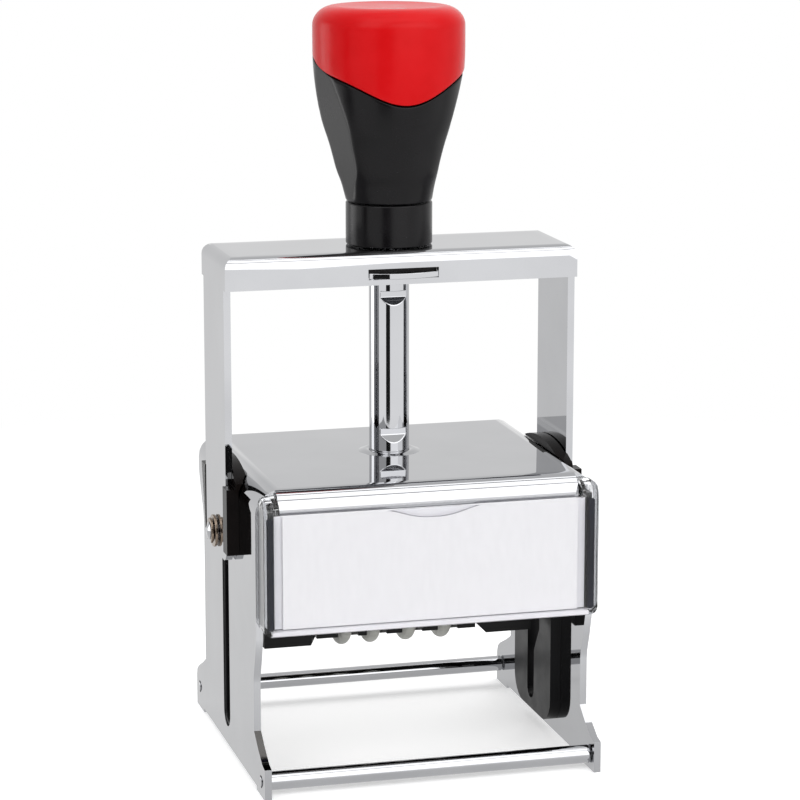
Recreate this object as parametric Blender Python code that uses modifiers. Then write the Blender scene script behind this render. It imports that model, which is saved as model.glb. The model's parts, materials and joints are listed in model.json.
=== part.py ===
"""Heavy self-inking date stamp: chrome frame, press yoke, flip-over die unit and index window.

Metres, +Z up, the front towards -Y.  The origin lies on the floor in the middle of the base.
Shapes are written round the press axis, the vertical line that the yoke and the handle run on.
The die unit's shapes are written from its pivot, with the rubber face on top as it is at rest.
"""
import math

import bmesh
import bpy
from mathutils import Matrix, Vector

# Gaps and facets
GAP = 0.0003               # between two pieces that touch on the real object
FINE_GAP = 0.0001          # in the grooves of the retaining rings
OVERRUN = 0.0030           # how far a cutter runs past the face that it opens
BITE = 0.0004              # how far joined shapes reach into each other
WELD = 0.00001
ROUND_STEPS = 40
GRIP_STEPS = 48
WHEEL_STEPS = 32
FILLET_STEPS = 6
SMOOTH_STEPS = 2

# Driving sizes of the frame: a bent sheet that stands on its feet
SHEET = 0.0018
FRAME_HALF = 0.04375
HOOD_TOP = 0.0770
HOOD_FRONT = 0.0400
HOOD_REAR = 0.0335
FOOT_FRONT = 0.0450
FOOT_REAR = 0.0402
AXIS_Y = (FOOT_FRONT - FOOT_REAR) / 2
HOOD_ROLL = 0.0050
SIDE_ROLL = 0.0065
FRONT_WALL_LOW = 0.0430
CORNER_NOTCH = 0.00515
REAR_WALL_LOW = 0.0600
PLATE_SETBACK = 0.0035
SHOULDER_Z = 0.0390
WAIST_SETBACK = 0.0035
WAIST_FRONT_TOP = 0.0270
WAIST_FRONT_LOW = 0.0145
WAIST_REAR_SETBACK = 0.0060
WAIST_REAR_TOP = 0.0520
WAIST_REAR_LOW = 0.0160
HOOD_REAR_LOW = 0.0670
FOOT_TIP = 0.0080
PAD_LENGTH = 0.0095
PAD_RELIEF = 0.0010
SHOULDER_SHARES = ((0.457, 0.458), (0.914, 0.833))
FLARE_FRONT_SHARES = ((0.36, 0.48), (0.775, 0.92))
FLARE_REAR_SHARES = ((0.315, 0.26), (0.764, 0.575), (0.945, 0.76))
SPREAD_REAR_SHARES = ((0.15, 0.333), (0.467, 0.553))
FRAME_IN = FRAME_HALF - SHEET
HOOD_UNDER = HOOD_TOP - SHEET
FRONT_WALL_HALF = FRAME_HALF - CORNER_NOTCH
PLATE_FRONT = HOOD_FRONT - PLATE_SETBACK
WAIST_FRONT = PLATE_FRONT - WAIST_SETBACK
WAIST_REAR = HOOD_REAR - WAIST_REAR_SETBACK

# Cross rods between the feet
ROD_INSET = 0.0042
FRONT_ROD_R = 0.0024
FRONT_ROD_Z = 0.0038
REAR_ROD_R = 0.0021
REAR_ROD_Z = 0.0058
RIVET_R = 0.0013
RIVET_PROUD = 0.0003

# Ink pad and its tray, close under the hood's top
TRAY_SHEET = 0.0008
TRAY_SETBACK = 0.0060
TRAY_ON_RAIL = 0.0007
TRAY_GRIP = 0.0014
TRAY_GRIP_DROP = 0.0032
PAD = 0.0016
PAD_SIDE_GAP = 0.0007
PAD_MARGIN = 0.0020
PAD_WAY = 0.0005
TRAY_TOP = HOOD_UNDER - GAP
TRAY_LOW = TRAY_TOP - TRAY_SHEET
RAIL_TOP = TRAY_LOW - GAP
PAD_LOW = RAIL_TOP - PAD
TRAY_OPENING_LOW = PAD_LOW - PAD_WAY
TRAY_GRIP_LOW = TRAY_OPENING_LOW - TRAY_GRIP_DROP
TRAY_FRONT = HOOD_FRONT - TRAY_SETBACK

# Die unit: its face rests under the pad and reaches the paper at the end of the travel
FACE_Z = 0.0129            # from the pivot
INK_GAP = 0.0009
PRESS_GAP = 0.0005
PIVOT_Z = PAD_LOW - INK_GAP - FACE_Z
TRAVEL = PIVOT_Z - FACE_Z - PRESS_GAP

# Cam guides inside the side plates
PIN_R = 0.0025
PIN_SPARE = 0.0038
GUIDE_LIP = 0.0008
GUIDE_THICKNESS = 0.00255
GUIDE_FRONT = 0.0170
GUIDE_REAR = 0.0143
GUIDE_LOW = 0.0040
GUIDE_DROP = 0.0060
GUIDE_CORNER = 0.0070
GUIDE_TOP_CORNER = 0.0020
FOLLOWER_R = 0.0022
FOLLOWER_ARM = 0.0080
GROOVE_DEPTH = 0.0014
GROOVE_STEPS = 24
RAIL_REACH = 0.0019
RAIL_ROOT = 0.0009
RAIL_HEIGHT = 0.0038
SLOT_LOW_Z = PIVOT_Z - TRAVEL - PIN_SPARE
GUIDE_HIGH = HOOD_TOP - GUIDE_DROP
GUIDE_OUT = FRAME_IN - GAP
GUIDE_IN = GUIDE_OUT - GUIDE_THICKNESS
SLOT_HALF = PIN_R + GAP
LIP_HALF = SLOT_HALF + GUIDE_LIP
PLATE_SLOT_HALF = LIP_HALF + GAP
FOLLOWER_HALF = FOLLOWER_R + 2 * GAP
RAIL_IN = GUIDE_IN - RAIL_REACH
RAIL_OUT = GUIDE_IN + RAIL_ROOT
RAIL_LOW = RAIL_TOP - RAIL_HEIGHT
TRAY_HALF = RAIL_IN + TRAY_ON_RAIL
PAD_HALF = RAIL_IN - PAD_SIDE_GAP

# Press yoke
LEG_GAP = 0.0005
YOKE_RISE = 0.0728
YOKE_DEPTH = 0.0146
LEG_SETBACK = 0.0021
FLANGE = 0.0083
LEG_END = 0.0055
YOKE_CORNER = 0.0030
YOKE_EDGE = 0.0026
LEG_CORNER = 0.0030
TAB_SLOT_HALF = 0.0092
TAB_SLOT_SILL = 0.0014
TAB_SLOT_HEIGHT = 0.0027
YOKE_IN = FRAME_HALF + LEG_GAP
YOKE_HALF = YOKE_IN + SHEET
YOKE_TOP = PIVOT_Z + YOKE_RISE
FLANGE_LOW = YOKE_TOP - FLANGE
LEG_DEPTH = YOKE_DEPTH - LEG_SETBACK
LEG_LOW = PIVOT_Z - LEG_END
TAB_SLOT_LOW = FLANGE_LOW + TAB_SLOT_SILL
TAB_SLOT_TOP = TAB_SLOT_LOW + TAB_SLOT_HEIGHT

# Leg guides: side bearings clipped over the hood, in which the legs run
LIP_PROUD = 0.00085
LIP_WIDTH = 0.0048
LEG_GUIDE_HEIGHT = 0.0210
LIP_DROP = 0.0040
FIN_REACH = 0.00265
FIN_RISE = 0.0013
FIN_ARC_R = 0.0426
FIN_ARC_STEPS = 12
PEG_R = 0.0012
PEG_UP = 0.0040
PEG_LENGTH = 0.0012
LEG_GUIDE_OUT = YOKE_HALF + LIP_PROUD
LEG_GUIDE_DEPTH = LEG_DEPTH + GAP + LIP_WIDTH
LEG_GUIDE_LOW = HOOD_TOP - LEG_GUIDE_HEIGHT
LEG_GUIDE_HIGH = HOOD_TOP - LIP_DROP
FIN_IN = FRAME_HALF - FIN_REACH
FIN_TOP = HOOD_TOP + FIN_RISE
PEG_Z = LEG_GUIDE_LOW + PEG_UP
PEG_DEPTH = LEG_DEPTH + GAP + LIP_WIDTH / 2

# Return spring, and the centre post round it with its locking notches
SPRING_R = 0.0032
SPRING_WIRE_R = 0.0004
SPRING_TURNS = 12
SPRING_POINTS_A_TURN = 8
POST_WALL = 0.0017
POST_RISE = 0.0078
POST_BASE = 0.0020
SPIGOT_R = 0.0035
NOTCH_DEPTH = 0.0013
NOTCH_FLAT = 0.0016
NOTCH_RAMP = 0.0020
REST_RELIEF = 0.0020
PAD_CHANGE_PRESS = 0.0090
POST_BORE_R = SPRING_R + GAP
POST_R = POST_BORE_R + POST_WALL
POST_TOP = YOKE_TOP + POST_RISE
POST_FLOOR = HOOD_TOP + POST_BASE

# Latch plate: a plate in the crossbar, whose front tab shows in the flange's slot
LATCH_THICKNESS = 0.0014
LATCH_HALF = 0.0120
LATCH_TAIL_HALF = 0.0050
LATCH_TAIL_OVER = 0.0006
LATCH_REAR_ROOM = 0.0018
LATCH_ARC_R = 0.0203
TAB_REACH = 0.0024
LATCH_HOLE_SPARE = 0.0018
TAB_HALF = TAB_SLOT_HALF - 2 * FINE_GAP
LATCH_LOW = TAB_SLOT_TOP
LATCH_TOP = LATCH_LOW + LATCH_THICKNESS
TAB_LOW = TAB_SLOT_LOW + GAP

# Handle
HANDLE_HEIGHT = 0.0608
COLLAR_R = 0.0111
COLLAR_HEIGHT = 0.0110
GRIP_NECK_R = 0.0110
GRIP_R = 0.0194
CAP_SHOULDER = 0.0050
GRIP_TOP_R = 0.0136
GRIP_PROFILE_SHARES = ((0.0, 0.0), (0.101, 0.143), (0.184, 0.321), (0.326, 0.524),
                       (0.449, 0.738), (0.618, 0.893), (0.798, 0.988), (1.0, 1.0))
FACET_SHARES = ((-0.12, -0.02), (0.034, 0.0), (0.101, 0.083), (0.229, 0.155), (0.326, 0.274),
                (0.438, 0.429), (0.618, 0.738), (0.809, 1.0), (0.95, 1.2))
FACET_TURN = math.radians(80)
CAP_HEIGHT = 0.0138
SEAM_FRONT_DROP = 0.0101
SEAM_BACK_RISE = 0.0048
SEAM_WAVE = 0.0021
CAP_ROOF = 0.0054
PLUNGER_GAP = 0.0005
PLUNGER_HEAD = 0.0020
PLUNGER_INSET = 0.0020
HANDLE_BORE_R = POST_R + GAP
COLLAR_TOP = YOKE_TOP + COLLAR_HEIGHT
GRIP_LOW = COLLAR_TOP + GAP
HEIGHT = YOKE_TOP + HANDLE_HEIGHT
GRIP_SHOULDER_Z = HEIGHT - CAP_SHOULDER
SEAM_Z = HEIGHT - CAP_HEIGHT
PLUNGER_R = POST_BORE_R - PLUNGER_GAP
PLUNGER_HEAD_R = HANDLE_BORE_R - PLUNGER_GAP
PLUNGER_TOP = HEIGHT - CAP_ROOF
PLUNGER_LOW = POST_TOP - PLUNGER_INSET

# Pivots at the lower ends of the legs
PIN_INSET = 0.0050
PIN_HEAD_R = 0.0040
PIN_HEAD = 0.0026
PIN_TIP = 0.0007
PIN_DOME = 0.0006
WASHER_R = 0.0042
WASHER = 0.00065
RING_R = 0.0034
RING = 0.0006
RING_BITE = 0.0006
RING_GAP_TURN = math.radians(35)

# Die block, with heights from the pivot
RUBBER_DEPTH = 0.0180
RUBBER = 0.0020
TEXT_PLATE = 0.0015
TEXT_PLATE_MARGIN = 0.0010
HOLDER_RIM = 0.0020
HOLDER_LIP = 0.0007
HOLDER_TOP_WALL = 0.0065
END_BLOCK_IN = 0.0220
END_BLOCK_DEPTH = 0.0100
END_BLOCK_LOW = -0.0297
END_BLOCK_WALL = 0.0018
END_BLOCK_CHAMFER = 0.0016
BOSS_R = 0.0050
BOSS_GAP = 0.0005
BOSS_LENGTH = 0.0026
BOSS_OUT = GUIDE_IN - BOSS_GAP
HOLDER_HALF = BOSS_OUT - BOSS_LENGTH
FOLLOWER_OUT = GUIDE_IN + GROOVE_DEPTH - 2 * FINE_GAP
PIN_IN = HOLDER_HALF - PIN_INSET
TEXT_PLATE_HALF = HOLDER_HALF - HOLDER_RIM
RUBBER_HALF = TEXT_PLATE_HALF - TEXT_PLATE_MARGIN
HOLDER_DEPTH = RUBBER_DEPTH + HOLDER_LIP
RUBBER_LOW = FACE_Z - RUBBER
TEXT_TOP = RUBBER_LOW - GAP
TEXT_LOW = TEXT_TOP - TEXT_PLATE
HOLDER_TOP = TEXT_LOW - GAP
HOLDER_LOW = HOLDER_TOP - HOLDER_TOP_WALL
PAD_DEPTH = RUBBER_DEPTH + PAD_MARGIN

# Date setting: cage, wheels and bands
WHEEL_XS = (-0.0130, -0.0053, 0.0043, 0.0139)
WHEEL_R = 0.0082
WHEEL_WIDTH = 0.0042
WHEEL_CHAMFER = 0.0005
WHEEL_Z = -0.0244
WHEEL_SLOT_RISE = 0.0089
DRUM_R = 0.0049
DRUM_WIDTH = 0.0030
SHAFT_R = 0.0015
CAGE_DEPTH = 0.0075
CAGE_STEP = 0.0009
CAGE_WALL = 0.0012
CAGE_NECK_DROP = 0.0017
CAGE_NECK_DEPTH = 0.0037
BAND = 0.0008
BAND_WIDTH = 0.0024
BRIDGE_R = 0.0016
BELT_STEPS = 10
WHEEL_DRUM_OUT = WHEEL_WIDTH / 2 + DRUM_WIDTH
CAGE_OUT = END_BLOCK_IN - 2 * GAP
CAGE_IN = CAGE_OUT - CAGE_WALL
CAGE_TOP = HOLDER_LOW - GAP
CAGE_LOW = END_BLOCK_LOW + CAGE_STEP
CAGE_NECK_TOP = FACE_Z - CAGE_NECK_DROP
WHEEL_SLOT_HIGH = WHEEL_Z + WHEEL_SLOT_RISE
BAND_TIP_R = BRIDGE_R + GAP + BAND
BAND_DRUM_R = DRUM_R + GAP + BAND
BRIDGE_Z = FACE_Z - BAND_TIP_R
WINDOW_HALF = CAGE_OUT + GAP
WINDOW_DEPTH = CAGE_NECK_DEPTH + GAP

# Index window on the hood's front wall
COVER_INSET = 0.00065
COVER_PROUD = 0.0029
COVER_SILL = 0.0018
COVER_DROP = 0.0054
COVER_WALL = 0.0012
COVER_CORNER = 0.0020
EAR_DROP = 0.0015
EAR_ROLL = 0.0042
EAR_CORNER = 0.0016
CLIP_THICKNESS = 0.0012
CLIP_DROP = 0.0030
CLIP_TONGUE = 0.0048
CLIP_TONGUE_RISE = 0.0048
CLIP_TONGUE_DROP = 0.0090
CARD_MARGIN = 0.0021
CARD = 0.0003
BACKING = 0.0004
THUMB_HALF = 0.0106
THUMB_DEPTH = 0.0020
THUMB_SHARES = ((0.0, 0.0), (0.2, 0.1), (0.42, 0.62), (0.66, 0.93), (1.0, 1.0))
COVER_HALF = FRAME_HALF - COVER_INSET
COVER_FRONT = HOOD_FRONT + COVER_PROUD
COVER_REAR = PLATE_FRONT + GAP
COVER_LOW = FRONT_WALL_LOW - COVER_SILL
COVER_HIGH = HOOD_TOP - COVER_DROP
COVER_IN = COVER_HALF - COVER_WALL
EAR_TOP = HOOD_TOP - EAR_DROP
EAR_IN = FRONT_WALL_HALF + GAP
BACKING_HALF = COVER_IN - CLIP_THICKNESS - 2 * GAP
CARD_HALF = BACKING_HALF - CARD_MARGIN
CARD_TOP = COVER_HIGH - GAP
CARD_LOW = COVER_LOW + COVER_WALL + GAP
BACKING_Y = -HOOD_FRONT - GAP - BACKING
CARD_Y = BACKING_Y - GAP - CARD

BLACK = (0.017, 0.016, 0.018)
SOFT_BLACK = (0.028, 0.027, 0.029)
RED = (0.72, 0.012, 0.016)
CHROME = (0.78, 0.78, 0.80)
STEEL = (0.62, 0.62, 0.64)
OFF_WHITE = (0.72, 0.71, 0.66)
CARD_WHITE = (0.82, 0.81, 0.83)
CLEAR = (0.90, 0.92, 0.95)
RUBBER_RED = (0.45, 0.05, 0.04)
FELT = (0.05, 0.04, 0.12)

PARTS = "date_stamp"
CUTTERS = "cutters"


def clear_scene():
    """Remove what the start-up scene holds."""
    for thing in list(bpy.data.objects):
        bpy.data.objects.remove(thing, do_unlink=True)


def collection(name):
    """Return the named collection, linked to the scene."""
    group = bpy.data.collections.get(name)
    if group is None:
        group = bpy.data.collections.new(name)
        bpy.context.scene.collection.children.link(group)
    return group


def finish(name, colour, roughness, metallic=0.0):
    """Return a Principled material for a surface finish, made once."""
    found = bpy.data.materials.get(name)
    if found is not None:
        return found
    made = bpy.data.materials.new(name)
    made.use_nodes = True
    shader = made.node_tree.nodes["Principled BSDF"]
    shader.inputs["Base Color"].default_value = (*colour, 1.0)
    shader.inputs["Roughness"].default_value = roughness
    shader.inputs["Metallic"].default_value = metallic
    return made


def empty(name, place, parent=None):
    """Return an empty that carries a moving body on its joint's axis."""
    mark = bpy.data.objects.new(name, None)
    mark.empty_display_size = PIN_R
    mark.location = place
    mark.parent = parent
    collection(PARTS).objects.link(mark)
    return mark


def place(name, mesh, parent, material=None):
    """Make an object of a mesh: a part if it has a material, a cutter if it has none."""
    thing = bpy.data.objects.new(name, mesh)
    thing.parent = parent
    if material is None:
        collection(CUTTERS).objects.link(thing)
        thing.hide_render = True
        thing.display_type = "WIRE"
    else:
        collection(PARTS).objects.link(thing)
        mesh.materials.append(material)
    return thing


def smooth_round(mesh, angle=math.radians(30)):
    """Shade a round mesh smooth and keep its edges sharp."""
    mesh.shade_smooth()
    mesh.set_sharp_from_angle(angle=angle)


def box(name, low, high, parent, material=None):
    """Make a box between two corners."""
    mesh = bpy.data.meshes.new(name)
    shape = bmesh.new()
    bmesh.ops.create_cube(shape, size=1.0)
    size = Vector(high) - Vector(low)
    middle = (Vector(high) + Vector(low)) / 2
    bmesh.ops.scale(shape, vec=size, verts=shape.verts)
    bmesh.ops.translate(shape, vec=middle, verts=shape.verts)
    shape.to_mesh(mesh)
    shape.free()
    return place(name, mesh, parent, material)


AXIS_TURNS = {
    "X": Matrix(((0, 0, 1), (1, 0, 0), (0, 1, 0))).to_4x4(),
    "Y": Matrix(((1, 0, 0), (0, 0, -1), (0, 1, 0))).to_4x4(),
    "Z": Matrix.Identity(4),
}


def prism(name, outlines, axis, low, high, parent, material=None, turn=0.0):
    """Make a flat outline into a prism along an axis.

    An outline's points are (y, z) for X, (x, z) for Y and (x, y) for Z.  A second outline
    inside the first is a hole.  turn swings the prism about +Z.
    """
    flat = bpy.data.curves.new(name, "CURVE")
    flat.dimensions = "2D"
    flat.fill_mode = "BOTH"
    flat.extrude = (high - low) / 2
    for outline in outlines:
        spline = flat.splines.new("POLY")
        spline.points.add(len(outline) - 1)
        for point, (across, along) in zip(spline.points, outline):
            point.co = (across, along, 0.0, 1.0)
        spline.use_cyclic_u = True
    holder = bpy.data.objects.new(name + "_outline", flat)
    collection(CUTTERS).objects.link(holder)
    middle = (high + low) / 2
    if axis == "Y":
        middle = -middle
    matrix = Matrix.Rotation(turn, 4, "Z") @ AXIS_TURNS[axis] @ Matrix.Translation((0, 0, middle))
    return place(name, curve_mesh(holder, name, matrix), parent, material)


def curve_mesh(holder, name, matrix):
    """Turn a curve object into a welded mesh and remove the curve."""
    evaluated = holder.evaluated_get(bpy.context.evaluated_depsgraph_get())
    mesh = bpy.data.meshes.new_from_object(evaluated)
    mesh.name = name
    flat = holder.data
    bpy.data.objects.remove(holder, do_unlink=True)
    bpy.data.curves.remove(flat)
    shape = bmesh.new()
    shape.from_mesh(mesh)
    bmesh.ops.remove_doubles(shape, verts=shape.verts, dist=WELD)
    bmesh.ops.transform(shape, matrix=matrix, verts=shape.verts)
    bmesh.ops.recalc_face_normals(shape, faces=shape.faces)
    shape.to_mesh(mesh)
    shape.free()
    mesh.materials.clear()
    return mesh


def cylinder(name, radius, axis, low, high, centre, parent, material=None, steps=ROUND_STEPS):
    """Make a cylinder along X or Z; centre is (y, z) or (x, y)."""
    mesh = bpy.data.meshes.new(name)
    shape = bmesh.new()
    bmesh.ops.create_cone(shape, cap_ends=True, segments=steps, radius1=radius, radius2=radius,
                          depth=high - low)
    middle = (high + low) / 2
    if axis == "X":
        matrix = Matrix.Translation((middle, *centre)) @ Matrix.Rotation(math.pi / 2, 4, "Y")
    else:
        matrix = Matrix.Translation((*centre, middle))
    bmesh.ops.transform(shape, matrix=matrix, verts=shape.verts)
    shape.to_mesh(mesh)
    shape.free()
    smooth_round(mesh)
    return place(name, mesh, parent, material)


def turned(name, profile, parent, material=None, steps=ROUND_STEPS, closed=False):
    """Turn a profile of (radius, height) points about Z; it runs down the outer side."""
    mesh = bpy.data.meshes.new(name)
    points = [(radius, 0.0, height) for radius, height in profile]
    edges = [(at, at + 1) for at in range(len(points) - 1)]
    if closed:
        edges.append((len(points) - 1, 0))
    mesh.from_pydata(points, edges, [])
    thing = place(name, mesh, parent, material)
    screw = thing.modifiers.new("turn", "SCREW")
    screw.axis = "Z"
    screw.angle = 2 * math.pi
    screw.steps = steps
    screw.render_steps = steps
    screw.use_merge_vertices = True
    screw.merge_threshold = WELD
    screw.use_smooth_shade = True
    return thing


def lay_along_x(thing, side, x=0.0, z=0.0):
    """Lay a turned piece on its side: its top points outwards, at x on the given side."""
    thing.rotation_euler = (0.0, side * math.pi / 2, 0.0)
    thing.location = (x, 0.0, z)
    return thing


def boolean(target, tool, operation):
    """Cut, join or keep with an exact Boolean."""
    step = target.modifiers.new(tool.name, "BOOLEAN")
    step.operation = operation
    step.solver = "EXACT"
    step.object = tool
    return target


def cut(target, *tools):
    for tool in tools:
        boolean(target, tool, "DIFFERENCE")


def join(target, *tools):
    for tool in tools:
        boolean(target, tool, "UNION")


def keep(target, *tools):
    for tool in tools:
        boolean(target, tool, "INTERSECT")


def arc(centre, radius, start, stop, steps):
    """Return points on an arc, angles in radians."""
    return [(centre[0] + radius * math.cos(start + (stop - start) * at / steps),
             centre[1] + radius * math.sin(start + (stop - start) * at / steps))
            for at in range(steps + 1)]


def rounded(corners, steps=FILLET_STEPS):
    """Return an outline of (across, along, fillet radius) corners with the fillets drawn."""
    outline = []
    count = len(corners)
    for at, (across, along, radius) in enumerate(corners):
        here = Vector((across, along))
        if radius <= 0:
            outline.append(tuple(here))
            continue
        before = (Vector(corners[at - 1][:2]) - here).normalized()
        after = (Vector(corners[(at + 1) % count][:2]) - here).normalized()
        half = before.angle(after) / 2
        start = here + before * radius / math.tan(half)
        stop = here + after * radius / math.tan(half)
        centre = here + (before + after).normalized() * radius / math.sin(half)
        first, last = start - centre, stop - centre
        sweep = math.atan2(first.x * last.y - first.y * last.x, first.dot(last))
        begin = math.atan2(first.y, first.x)
        outline += arc(centre, radius, begin, begin + sweep, steps)
    return outline


def stadium(half, low, high, steps=FILLET_STEPS * 2):
    """Return the outline of a slot about the press axis, from the centres of its round ends."""
    return arc((0.0, high), half, 0.0, math.pi, steps) + arc((0.0, low), half, math.pi,
                                                           2 * math.pi, steps)


def between(start, stop, shares):
    """Return points whose shares of the way from start to stop are given per coordinate."""
    return [(start[0] + (stop[0] - start[0]) * first, start[1] + (stop[1] - start[1]) * second)
            for first, second in shares]


def smooth_through(points, steps=SMOOTH_STEPS):
    """Return a Catmull-Rom line through the points."""
    line = []
    count = len(points)
    for at in range(count - 1):
        a, b, c, d = (Vector(points[max(0, min(count - 1, at + shift))]) for shift in (-1, 0, 1, 2))
        for step in range(steps):
            t = step / steps
            line.append(tuple(0.5 * (2 * b + (c - a) * t + (2 * a - 5 * b + 4 * c - d) * t ** 2
                                     + (3 * b - a - 3 * c + d) * t ** 3)))
    line.append(tuple(points[-1]))
    return line


def mirrored(side, near, far):
    """Return a low and a high x for a piece that reaches from near to far on one side."""
    return (near, far) if side > 0 else (-far, -near)


def plate_outline():
    """The side view of the frame: hood, front wall, waists and flared feet."""
    front_shoulder = (-PLATE_FRONT, SHOULDER_Z)
    front_waist = (-WAIST_FRONT, WAIST_FRONT_TOP)
    front_ankle = (-WAIST_FRONT, WAIST_FRONT_LOW)
    front_foot = (-FOOT_FRONT, FOOT_TIP)
    rear_foot = (FOOT_REAR, FOOT_TIP)
    rear_ankle = (WAIST_REAR, WAIST_REAR_LOW)
    rear_waist = (WAIST_REAR, WAIST_REAR_TOP)
    rear_hood = (HOOD_REAR, HOOD_REAR_LOW)
    front = [(-HOOD_FRONT, FRONT_WALL_LOW), (-PLATE_FRONT, FRONT_WALL_LOW), front_shoulder,
             *between(front_shoulder, front_waist, SHOULDER_SHARES), front_waist, front_ankle,
             *between(front_ankle, front_foot, FLARE_FRONT_SHARES), front_foot, (-FOOT_FRONT, 0.0)]
    rear = [rear_hood, *reversed(between(rear_waist, rear_hood, SPREAD_REAR_SHARES)), rear_waist,
            rear_ankle, *between(rear_ankle, rear_foot, FLARE_REAR_SHARES), rear_foot,
            (FOOT_REAR, 0.0)]
    top = rounded([(HOOD_REAR, HOOD_REAR_LOW, 0.0), (HOOD_REAR, HOOD_TOP, HOOD_ROLL),
                   (-HOOD_FRONT, HOOD_TOP, HOOD_ROLL), (-HOOD_FRONT, FRONT_WALL_LOW, 0.0)])[1:-1]
    return top + front + rear[::-1]


def hood_cross_section(half, top, roll, low):
    """The front view of the hood or of the space in it, with its rolled upper edges."""
    return rounded([(-half, low, 0.0), (-half, top, roll), (half, top, roll), (half, low, 0.0)])


def make_frame_shell(root, chrome):
    """The bent sheet: hood, front wall, rear wall and the two side plates with their feet."""
    wide = FRAME_HALF + OVERRUN
    shell = prism("frame_shell", [plate_outline()], "X", -wide, wide, root, chrome)
    below = -OVERRUN
    keep(shell, prism("shell_rolls", [hood_cross_section(FRAME_HALF, HOOD_TOP, SIDE_ROLL, below)],
                      "Y", -FOOT_FRONT - OVERRUN, FOOT_REAR + OVERRUN, root))
    past_front = -FOOT_FRONT - OVERRUN
    past_rear = FOOT_REAR + OVERRUN
    inner_roll = HOOD_ROLL - SHEET
    hollow = prism("shell_hollow", [rounded([
        (past_front, below, 0.0), (past_rear, below, 0.0), (past_rear, REAR_WALL_LOW, 0.0),
        (HOOD_REAR - SHEET, REAR_WALL_LOW, 0.0), (HOOD_REAR - SHEET, HOOD_UNDER, inner_roll),
        (SHEET - HOOD_FRONT, HOOD_UNDER, inner_roll), (SHEET - HOOD_FRONT, FRONT_WALL_LOW, 0.0),
        (past_front, FRONT_WALL_LOW, 0.0)])], "X", -wide, wide, root)
    keep(hollow, prism("hollow_rolls", [
        hood_cross_section(FRAME_IN, HOOD_UNDER, SIDE_ROLL - SHEET, below - OVERRUN)],
        "Y", past_front - OVERRUN, past_rear + OVERRUN, root))
    cut(shell, hollow)
    for side, name in ((-1, "left"), (1, "right")):
        low, high = mirrored(side, FRONT_WALL_HALF, FRAME_HALF + OVERRUN)
        cut(shell, box(f"front_notch_{name}", (low, -HOOD_FRONT - OVERRUN, FRONT_WALL_LOW - BITE),
                       (high, -PLATE_FRONT, HOOD_TOP + OVERRUN), root))
        low, high = mirrored(side, FRAME_IN - BITE, FRAME_HALF + OVERRUN)
        cut(shell, prism(f"leg_slot_{name}", [stadium(PLATE_SLOT_HALF, SLOT_LOW_Z, PIVOT_Z)],
                         "X", low, high, root),
            box(f"foot_relief_{name}", (low, PAD_LENGTH - FOOT_FRONT, -OVERRUN),
                (high, FOOT_REAR - PAD_LENGTH, PAD_RELIEF), root))
        for rod, y, z in (("front", ROD_INSET - FOOT_FRONT, FRONT_ROD_Z),
                          ("rear", FOOT_REAR - ROD_INSET, REAR_ROD_Z)):
            cut(shell, cylinder(f"{rod}_rivet_hole_{name}", RIVET_R + GAP, "X", low, high, (y, z),
                                root, steps=ROUND_STEPS // 2))
        for sign, end in ((-1, "front"), (1, "rear")):
            cut(shell, cylinder(f"peg_hole_{end}_{name}", PEG_R + GAP, "X", low, high,
                                (sign * PEG_DEPTH, PEG_Z), root, steps=ROUND_STEPS // 2))
    cut(shell, box("tray_opening", (-TRAY_HALF - GAP, HOOD_REAR - HOOD_ROLL, TRAY_OPENING_LOW),
                   (TRAY_HALF + GAP, HOOD_REAR + OVERRUN, HOOD_UNDER + BITE), root),
        cylinder("post_hole", SPIGOT_R + GAP, "Z", HOOD_UNDER - OVERRUN, HOOD_TOP + OVERRUN,
                 (0.0, 0.0), root))


def make_rod(name, radius, y, z, root, chrome):
    """A cross rod between the side plates, riveted through them."""
    end = FRAME_HALF + RIVET_PROUD
    shoulder = FRAME_IN - GAP
    rod = turned(name, [(0.0, end), (RIVET_R, end), (RIVET_R, shoulder), (radius, shoulder),
                        (radius, -shoulder), (RIVET_R, -shoulder), (RIVET_R, -end), (0.0, -end)],
                 root, chrome, ROUND_STEPS // 2)
    lay_along_x(rod, 1)
    rod.location = (0.0, y, z)


def follower_path(turn):
    """Where the follower pins stand, as (y, z), once the die unit has turned by an angle."""
    drop = TRAVEL * turn / math.pi
    return (-FOLLOWER_ARM * math.sin(turn), PIVOT_Z - drop - FOLLOWER_ARM * math.cos(turn))


def groove_outline():
    """The follower's path widened to its groove, with round ends."""
    left, right = [], []
    for at in range(GROOVE_STEPS + 1):
        turn = math.pi * at / GROOVE_STEPS
        here = Vector(follower_path(turn))
        along = Vector((-FOLLOWER_ARM * math.cos(turn),
                        FOLLOWER_ARM * math.sin(turn) - TRAVEL / math.pi)).normalized()
        normal = Vector((-along.y, along.x)) * FOLLOWER_HALF
        left.append(tuple(here + normal))
        right.append(tuple(here - normal))
    first, last = Vector(follower_path(0.0)), Vector(follower_path(math.pi))
    start = math.atan2(right[0][1] - first.y, right[0][0] - first.x)
    stop = math.atan2(left[-1][1] - last.y, left[-1][0] - last.x)
    head = arc(first, FOLLOWER_HALF, start, start - math.pi, FILLET_STEPS)[1:-1]
    tail = arc(last, FOLLOWER_HALF, stop, stop - math.pi, FILLET_STEPS)[1:-1]
    return left + tail + right[::-1] + head


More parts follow.
